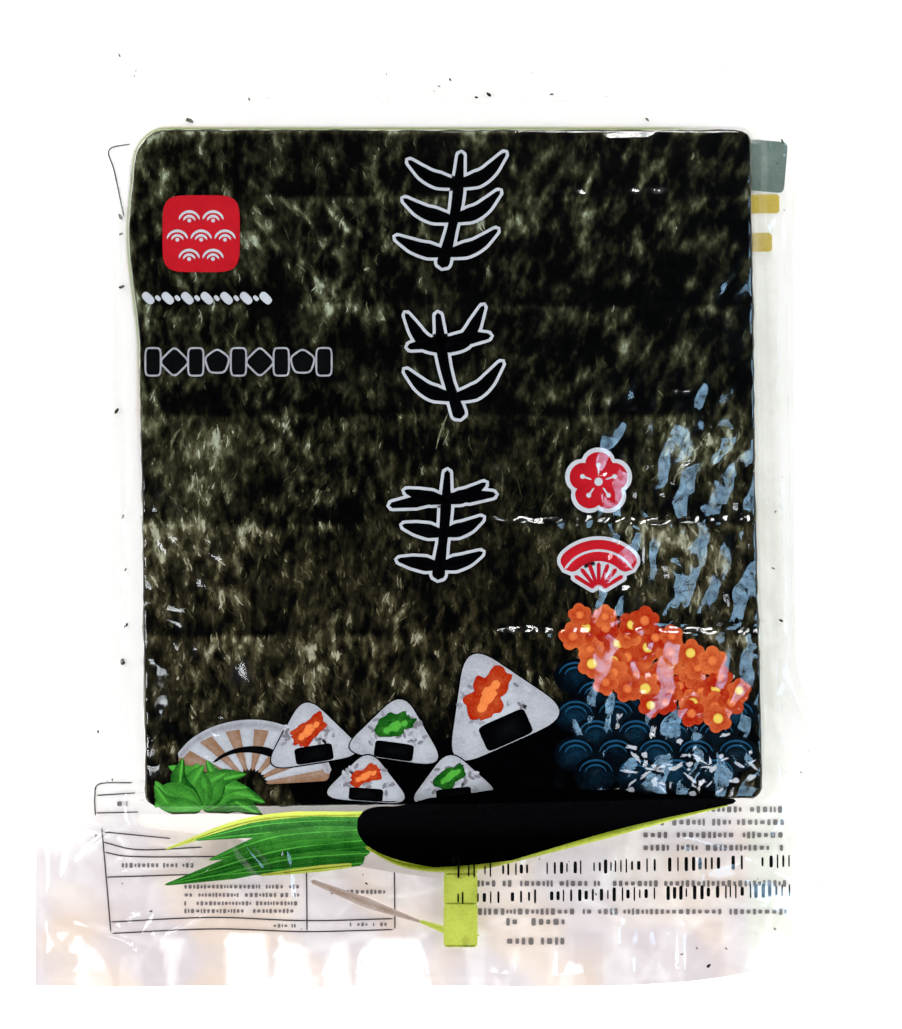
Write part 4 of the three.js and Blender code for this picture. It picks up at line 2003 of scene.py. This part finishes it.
@dataclass
class FlapPicture(Motif):
    """The print that runs on below the stack: bamboo, a tray's rim and dark bars."""

    bar_rows: tuple[tuple[float, float, float], ...] = ((-111.4, 4.6, 0.030), (-119.9, 4.6, 0.024))
    bar_span: Point = (2, 107)

    def draw(self) -> None:
        """Prints the picture, from what lies farthest back."""
        tray = [(-98, -95), (-62, -97.5), (-30, -104), (0, -110)]
        stick = [(-44, -114.5), (-26, -121.5), (-9, -127.5)]
        shoot = [(-10, -127), (2, -131), (9, -131.5)]
        self.sheet.stroke(Ink.CREAM, tray, (4, 9, 12, 9), 0, (0.98, 0.9))
        self.sheet.stroke(Ink.CREAM, stick, (1.4, 3.2, 0.8), 1, (0.35, 0.6))
        self.sheet.stroke(Ink.LIME, shoot, (1, 2.4, 0.8), 1, (0.6, 0.8))
        self._cane()
        self._leaves()
        self._brush()
        self._bars()

    def _cane(self) -> None:
        """Prints an upright length of bamboo with its joints."""
        for index, (y, height) in enumerate(((-107, 11.6), (-117.2, 9.6), (-128.4, 13.6))):
            self.sheet.shape(Ink.LIME, (3, y), (10.6, height), polygon(4, 16), 0, 2 + index, (0.95, 0.7))
            joint = [(-1.8, y - height / 2 + 0.4), (7.8, y - height / 2 + 0.4)]
            self.sheet.stroke(Ink.LIME, joint, (0.5, 0.5), 6, (0.3, 0.4))

    def _leaves(self) -> None:
        """Prints long bamboo leaves that fan out to the left from a broad sheaf."""
        leaves = (
            (Ink.LIME, (-26, -93), (-60, -94.8), (-89.5, -104.6), 3.4),
            (Ink.GREEN, (-25, -96), (-56, -97.6), (-80, -101.6), 6.4),
            (Ink.GREEN, (-25, -100), (-54, -102.4), (-76, -108), 8.6),
            (Ink.GREEN, (-25, -103.6), (-54, -107.2), (-89.8, -115.8), 9),
            (Ink.GREEN, (-27, -107.4), (-50, -109.2), (-72, -112.6), 6.4),
            (Ink.LIME, (-31, -109.6), (-46, -111.2), (-60, -112.8), 2),
        )
        for index, (ink, root, mid, tip, width) in enumerate(leaves):
            light = 0.1 if ink is Ink.GREEN else 0.45
            widths = (0.7 * width, width, 0.8 * width, 0.5)
            tone = (light + 0.1 * (index % 3), light + 0.3)
            self.sheet.stroke(ink, [root, mid, tip], widths, 3 + index, tone)
            for off in (-0.24, 0, 0.24):
                vein = [(x, y + off * width) for x, y in (root, mid)] + [tip]
                self.sheet.stroke(ink, vein, (0.3, 0.5, 0.2), 3.4 + index, (0.9 if off else 0, 0.6))

    def _brush(self) -> None:
        """Prints a broad black brush mark that thins out to the right."""
        points = [(-29, -94.4), (-17, -98.6), (0, -98.4), (22, -95.6), (52, -91.6), (88, -88.4)]
        widths = (12, 23, 24, 16.4, 8.8, 1.6)
        below = [(-27, -103.8), (-16, -108.9), (-3.5, -110.2), (9, -108.8), (31, -103.2)]
        below += [(60, -96.2), (86, -89.9)]
        self.sheet.stroke(Ink.LIME, below, (0.8, 2.8, 4.6, 5.2, 4.4, 2.4, 0.4), 10, (0, 0.7))
        self.sheet.stroke(Ink.BLACK, points, widths, 12, (0, 0))

    def _bars(self) -> None:
        """Prints two rows of plain dark bars of uneven size in place of lines of print."""
        rng = np.random.default_rng(98)
        for y, height, climb in self.bar_rows:
            x = self.bar_span[0]
            while x < self.bar_span[1] - 1.0:
                width = rng.choice([0.5, 0.7, 1.1])
                middle = (x + width / 2, y + climb * (x - self.bar_span[0]))
                tall = height * rng.choice([0.6, 0.8, 0.95])
                if rng.uniform() > 0.1:
                    self.sheet.shape(Ink.BLACK, middle, (width, tall), polygon(4, 9), 0, 13, (0.8, 0.9))
                x += width + rng.choice([0.9, 1.2, 1.8])


@dataclass
class BackPicture(Motif):
    """The back layer's print, seen through the clear front: a ruled table and bars."""

    line: float = 0.42

    def draw(self) -> None:
        """Prints the table, the blocks of short bars and the edge panels."""
        rows = (
            ((-111.6, -88), (-99, -87.2)),
            ((-111.8, -93.5), (-98, -93.2)),
            ((-109.6, -99.4), (-88, -101.5)),
            ((-109.4, -102.6), (-98, -105), (-78, -104.2)),
            ((-109, -105.8), (-98, -107.2), (-60, -107)),
            ((-108.4, -113.6), (-75, -112.6), (-46, -112.2)),
            ((-107, -127.6), (-75, -126.2), (-46, -127.2), (-18, -126.6)),
            ((-106.6, -131.2), (-75, -129.8), (-46, -130.6), (-18, -130)),
        )
        frame = (
            ((-100, -84), (-110.5, -84.4), (-112, -88), (-111.8, -94.5)),
            ((-109.8, -98), (-108.4, -113), (-106.8, -131)),
            ((-45.6, -93), (-45.4, -112), (-45.2, -130.6)),
            ((-17.8, -110), (-17.6, -130)),
            ((-101.3, 117.9), (-108.3, 116), (-106.6, 109), (-103.5, 94.5)),
        )
        for points in rows + frame:
            self.sheet.stroke(Ink.GREY, points, (self.line, self.line), 1, (0.15, 0.15))
        blocks = (
            ((-84, -47.5), (-116.6, -119.2, -121.8, -124.2), 1.5),
            ((-105, -80), (-109.9,), 1.7),
            ((-38, -19.5), (-118.2,), 1.7),
            ((-32, -18.5), (-128.4,), 1.3),
            ((-56, -47), (-128.8,), 1.3),
            ((60, 105), (-92.4, -96.4, -100.4, -104.4), 2.2),
            ((8, 106), (-115.6, -124.4), 2.2),
            ((17, 36), (-127.6, -133.6), 2.6),
            ((-104.5, -99), (-46,), 2.2),
            ((-105.5, -100.5), (-90.6,), 2.4),
        )
        rng = np.random.default_rng(99)
        for span, heights, tall in blocks:
            for y in heights:
                self._bar_row(span, y, tall, rng)
        self.sheet.shape(Ink.SLATE, (99.8, 110.8), (12.6, 16.2), polygon(4, 12), -5, 1, (0.4, 0.2))
        for y, x, width in ((98.8, 99, 10), (86.6, 97.8, 7.6)):
            self.sheet.shape(Ink.YELLOW, (x, y), (width, 6), polygon(4, 12), 0, 1, (0.7, 0.9))

    def _bar_row(self, span: Point, y: float, tall: float, rng: np.random.Generator) -> None:
        """Prints a row of short bars with uneven gaps.

        Args:
            span: Where it starts and where it ends across.
            y: Where it lies along.
            tall: The greatest height of a bar.
            rng: The source of its draws.
        """
        x = span[0]
        while x < span[1] - 0.6 * tall:
            width = min(tall * rng.uniform(0.5, 1.1), span[1] - x)
            height = tall * rng.uniform(0.55, 1)
            if rng.uniform() > 0.14:
                bar = (0.62 * width, height)
                self.sheet.shape(Ink.GREY, (x + width / 2, y), bar, polygon(4, 6), layer=1, tone=(0.6, 0.9))
            x += width


@dataclass
class Printing:
    """All the print, on the inside of the front layer and on the back layer."""

    form: BagForm

    def build(self) -> None:
        """Draws every motif and makes the ink meshes."""
        front = PrintSheet("front", self.form.front_print)
        flap = PrintSheet("flap", self.form.flap_print)
        back = PrintSheet("back", self.form.back_print)
        motifs = (
            SealAndLines(front),
            Frond(front, (0.2, 94.6), 36, 3, 18, 7, 3, 0),
            Frond(front, (-0.6, 46.2), 33, 2, 16.5, 11, -3.5, 13),
            Frond(front, (-2.6, -3.2), 34, 3, 15, 3, 1.5, 16.5),
            RedOrnaments(front),
            LowerPicture(front),
            FlapPicture(flap),
            BackPicture(back),
        )
        for motif in motifs:
            motif.draw()
        for sheet in (front, flap, back):
            sheet.build()


# ---- Crumbs ----


@dataclass
class Crumbs:
    """Flakes broken off the sheets, loose between the two layers round the stack."""

    form: BagForm
    named: tuple[tuple[float, float, float], ...] = (
        (-105.1, 146, 1.6),
        (-82.8, 125.2, 3.4),
        (-64, 132, 1.4),
        (12, 133.5, 2.6),
        (8, 132.6, 1.6),
        (31.9, 133.6, 1.6),
        (62.2, 125.6, 2),
        (105, 118.6, 1.8),
        (-104.6, 94.6, 2.6),
        (-104.4, 89.2, 1.8),
        (-104.2, 72.4, 2.6),
        (-105.6, 33.2, 2.6),
        (-103.4, -0.2, 1.8),
        (-102.6, -17, 1.4),
        (-102.4, -34.6, 2.4),
        (-103, -46.4, 1.6),
        (-111, -68, 1.4),
        (80.6, -141, 2.2),
        (104, -33, 1.8),
        (101.6, -16.6, 1.4),
    )
    scattered: int = 70
    sides: int = 7
    flatness: float = 0.45
    gap: float = 0.35
    half_thickness: float = 0.12

    def _spots(self, rng: np.random.Generator) -> tuple[Array, Array, Array]:
        """The places and sizes of all flakes, those with a size below 0 left out.

        Args:
            rng: The source of the draws.

        Returns:
            The x, the y and the size of each flake.
        """
        x = rng.uniform(-126, 126, self.scattered * 6)
        y = rng.uniform(-143, 144, self.scattered * 6)
        near = (self.form.block_share(x, y) < 0.02) & (self.form.edge_distance(x, y) > 3)
        close = np.abs(self.form.stack.outside(x, y)[0]) < rng.uniform(4, 60, len(x))
        x, y = x[near & close][: self.scattered], y[near & close][: self.scattered]
        size = np.exp(rng.normal(-0.35, 0.35, len(x)))
        named = np.array(self.named)
        return np.append(named[:, 0], x), np.append(named[:, 1], y), np.append(named[:, 2], size)

    def build(self) -> None:
        """Makes the flakes: small uneven discs with two faces and a ragged rim."""
        rng = np.random.default_rng(12)
        x, y, size = (part[:, None, None] for part in self._spots(rng))
        count = len(x)
        angle = np.linspace(0, 2 * math.pi, self.sides, endpoint=False)[None, :, None]
        share = np.array([0.02, 0.6, 1, 0.98, 0.6, 0.02])[None, None, :]
        side = np.array([1, 1, 0.3, -0.3, -1, -1])[None, None, :]
        ragged = rng.uniform(0.65, 1.1, (count, self.sides, 1))
        half = 0.5 * size * ragged * share
        turn = rng.uniform(0, math.pi, x.shape)
        out_x, out_y = half * np.cos(angle), self.flatness * half * np.sin(angle)
        place_x, place_y = turned((x, y), out_x, out_y, turn)
        level = self.form.back(place_x, place_y) + self.gap
        height = level + self.half_thickness * side + 0.2 * out_x * rng.uniform(-1, 1, x.shape)
        tone = rng.uniform(0.35, 0.8, x.shape)
        parts = MeshParts()
        parts.add_grids(points_of(place_x, place_y, height), tone, wrap=True)
        attach(parts.build("nori_crumbs", NoriFinish("nori_crumb").material()), "nori")


# ---- The camera, the floor and the light ----


def place_facing(name: str, data: bpy.types.ID, place: Vector, direction: Vector) -> Item:
    """Puts a camera or a lamp into the scene.

    Args:
        name: The object's name.
        data: The camera or the lamp.
        place: Where it stands, in metres.
        direction: Where it faces.

    Returns:
        The new object.
    """
    item = bpy.data.objects.new(name, data)
    item.location = place
    item.rotation_mode = "QUATERNION"
    item.rotation_quaternion = direction.to_track_quat("-Z", "Y")
    bpy.context.scene.collection.objects.link(item)
    return item


@dataclass(frozen=True)
class SoftBox:
    """A lamp: its place and size in metres, its power in watts and its colour."""

    name: str
    place: tuple[float, float, float]
    size: Point
    watts: float
    colour: tuple[float, float, float]

    def hang(self) -> None:
        """Makes the lamp, facing the bag, so that it shows only mirrored."""
        data = bpy.data.lights.new(self.name, "AREA")
        data.shape = "RECTANGLE"
        data.size, data.size_y = self.size
        data.energy = self.watts
        data.color = self.colour
        lamp = place_facing(self.name, data, Vector(self.place), -Vector(self.place))
        lamp.visible_diffuse = False


@dataclass(frozen=True)
class Studio:
    """A camera that looks down on the bag, a pale floor and soft light."""

    photo_height: int = 1029
    elevation: float = 88.5
    distance: float = 700.0
    target_level: float = 15.0
    millimetres_per_pixel: float = 0.309
    sensor: float = 36.0
    nearest_seen: float = 0.02
    farthest_seen: float = 50.0
    floor_half_width: float = 6000.0
    table_glow: float = 0.4
    dome_heights: Point = (0.25, 0.62)
    dome_lights: Point = (6.4, 0.012)
    mirrored_room: float = 0.25
    lamps: tuple[SoftBox, ...] = (
        SoftBox("window", (0.66, -0.08, 1.20), (0.74, 0.52), 11.2, (0.42, 0.71, 1)),
        SoftBox("head_lamp", (0.17, 0.74, 1.05), (0.22, 0.44), 9.4, (1, 1, 1)),
        SoftBox("left_lamp", (-0.56, -0.14, 1.05), (0.22, 0.42), 3.8, (0.91, 0.95, 1)),
    )
    bounces: tuple[tuple[str, int], ...] = (
        ("max_bounces", 6),
        ("diffuse_bounces", 2),
        ("glossy_bounces", 3),
        ("transparent_max_bounces", 12),
    )

    def camera(self) -> None:
        """Makes the camera and sets it as the scene's."""
        data = bpy.data.cameras.new("camera")
        data.sensor_width = self.sensor
        data.lens = self.sensor * self.distance / (self.photo_height * self.millimetres_per_pixel)
        data.clip_start = self.nearest_seen
        data.clip_end = self.farthest_seen
        lift = math.radians(self.elevation)
        target = Vector((0, 0, self.target_level * MM))
        back = Vector((0, -math.cos(lift), math.sin(lift)))
        place = target + back * self.distance * MM
        bpy.context.scene.camera = place_facing("camera", data, place, -back)

    def floor(self) -> None:
        """Makes the plain pale floor, which is no part of the bag."""
        steps = np.linspace(-self.floor_half_width, self.floor_half_width, 3)
        x, y = np.meshgrid(steps, steps)
        parts = MeshParts()
        parts.add_grids(points_of(x, y, 0))
        shader = Shader.material("pale_floor")
        painted_glint_tone = {"Emission Color": (1, 1, 1, 1), "Emission Strength": self.table_glow}
        pale = {"Base Color": (0.92, 0.92, 0.92, 1), "Roughness": 1, "Specular IOR Level": 0.0}
        surface = shader.add("BsdfPrincipled", pale | painted_glint_tone)
        parts.build("floor", shader.finish(surface.outputs[0]))

    def dome(self) -> None:
        """Lights the room: bright at the horizon, dim overhead, and dimmer when mirrored."""
        world = bpy.data.worlds.new("soft_room")
        bpy.context.scene.world = world
        sky = Shader(world, "World")
        place = sky.add("TexCoord").outputs["Generated"]
        height = sky.add("SeparateXYZ", {"Vector": place}).outputs["Z"]
        light = sky.ramp(height, *self.dome_heights, self.dome_lights)
        seen = sky.add("LightPath").outputs["Is Glossy Ray"]
        dimmed = sky.math("MULTIPLY_ADD", seen, self.mirrored_room - 1, 1)
        strength = sky.math("MULTIPLY", light, dimmed)
        shine = sky.add("Background", {"Color": (1, 1, 1, 1), "Strength": strength})
        sky.finish(shine.outputs[0])

    def build(self) -> None:
        """Sets up everything that isn't the bag."""
        self.camera()
        self.floor()
        self.dome()
        for lamp in self.lamps:
            lamp.hang()
        scene = bpy.context.scene
        scene.view_settings.view_transform = "Standard"
        scene.view_settings.look = "None"
        for name, count in self.bounces:
            setattr(scene.cycles, name, count)
        scene.cycles.caustics_reflective = False


def main() -> None:
    """Loads the frame, sets up the studio, and builds the bag and its contents."""
    logging.basicConfig(level=logging.INFO, format="%(name)s: %(message)s")
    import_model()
    form = BagForm()
    Studio().build()
    NoriStack(form).build()
    Printing(form).build()
    Crumbs(form).build()
    FilmBag(form).build()


if __name__ == "__main__":
    main()
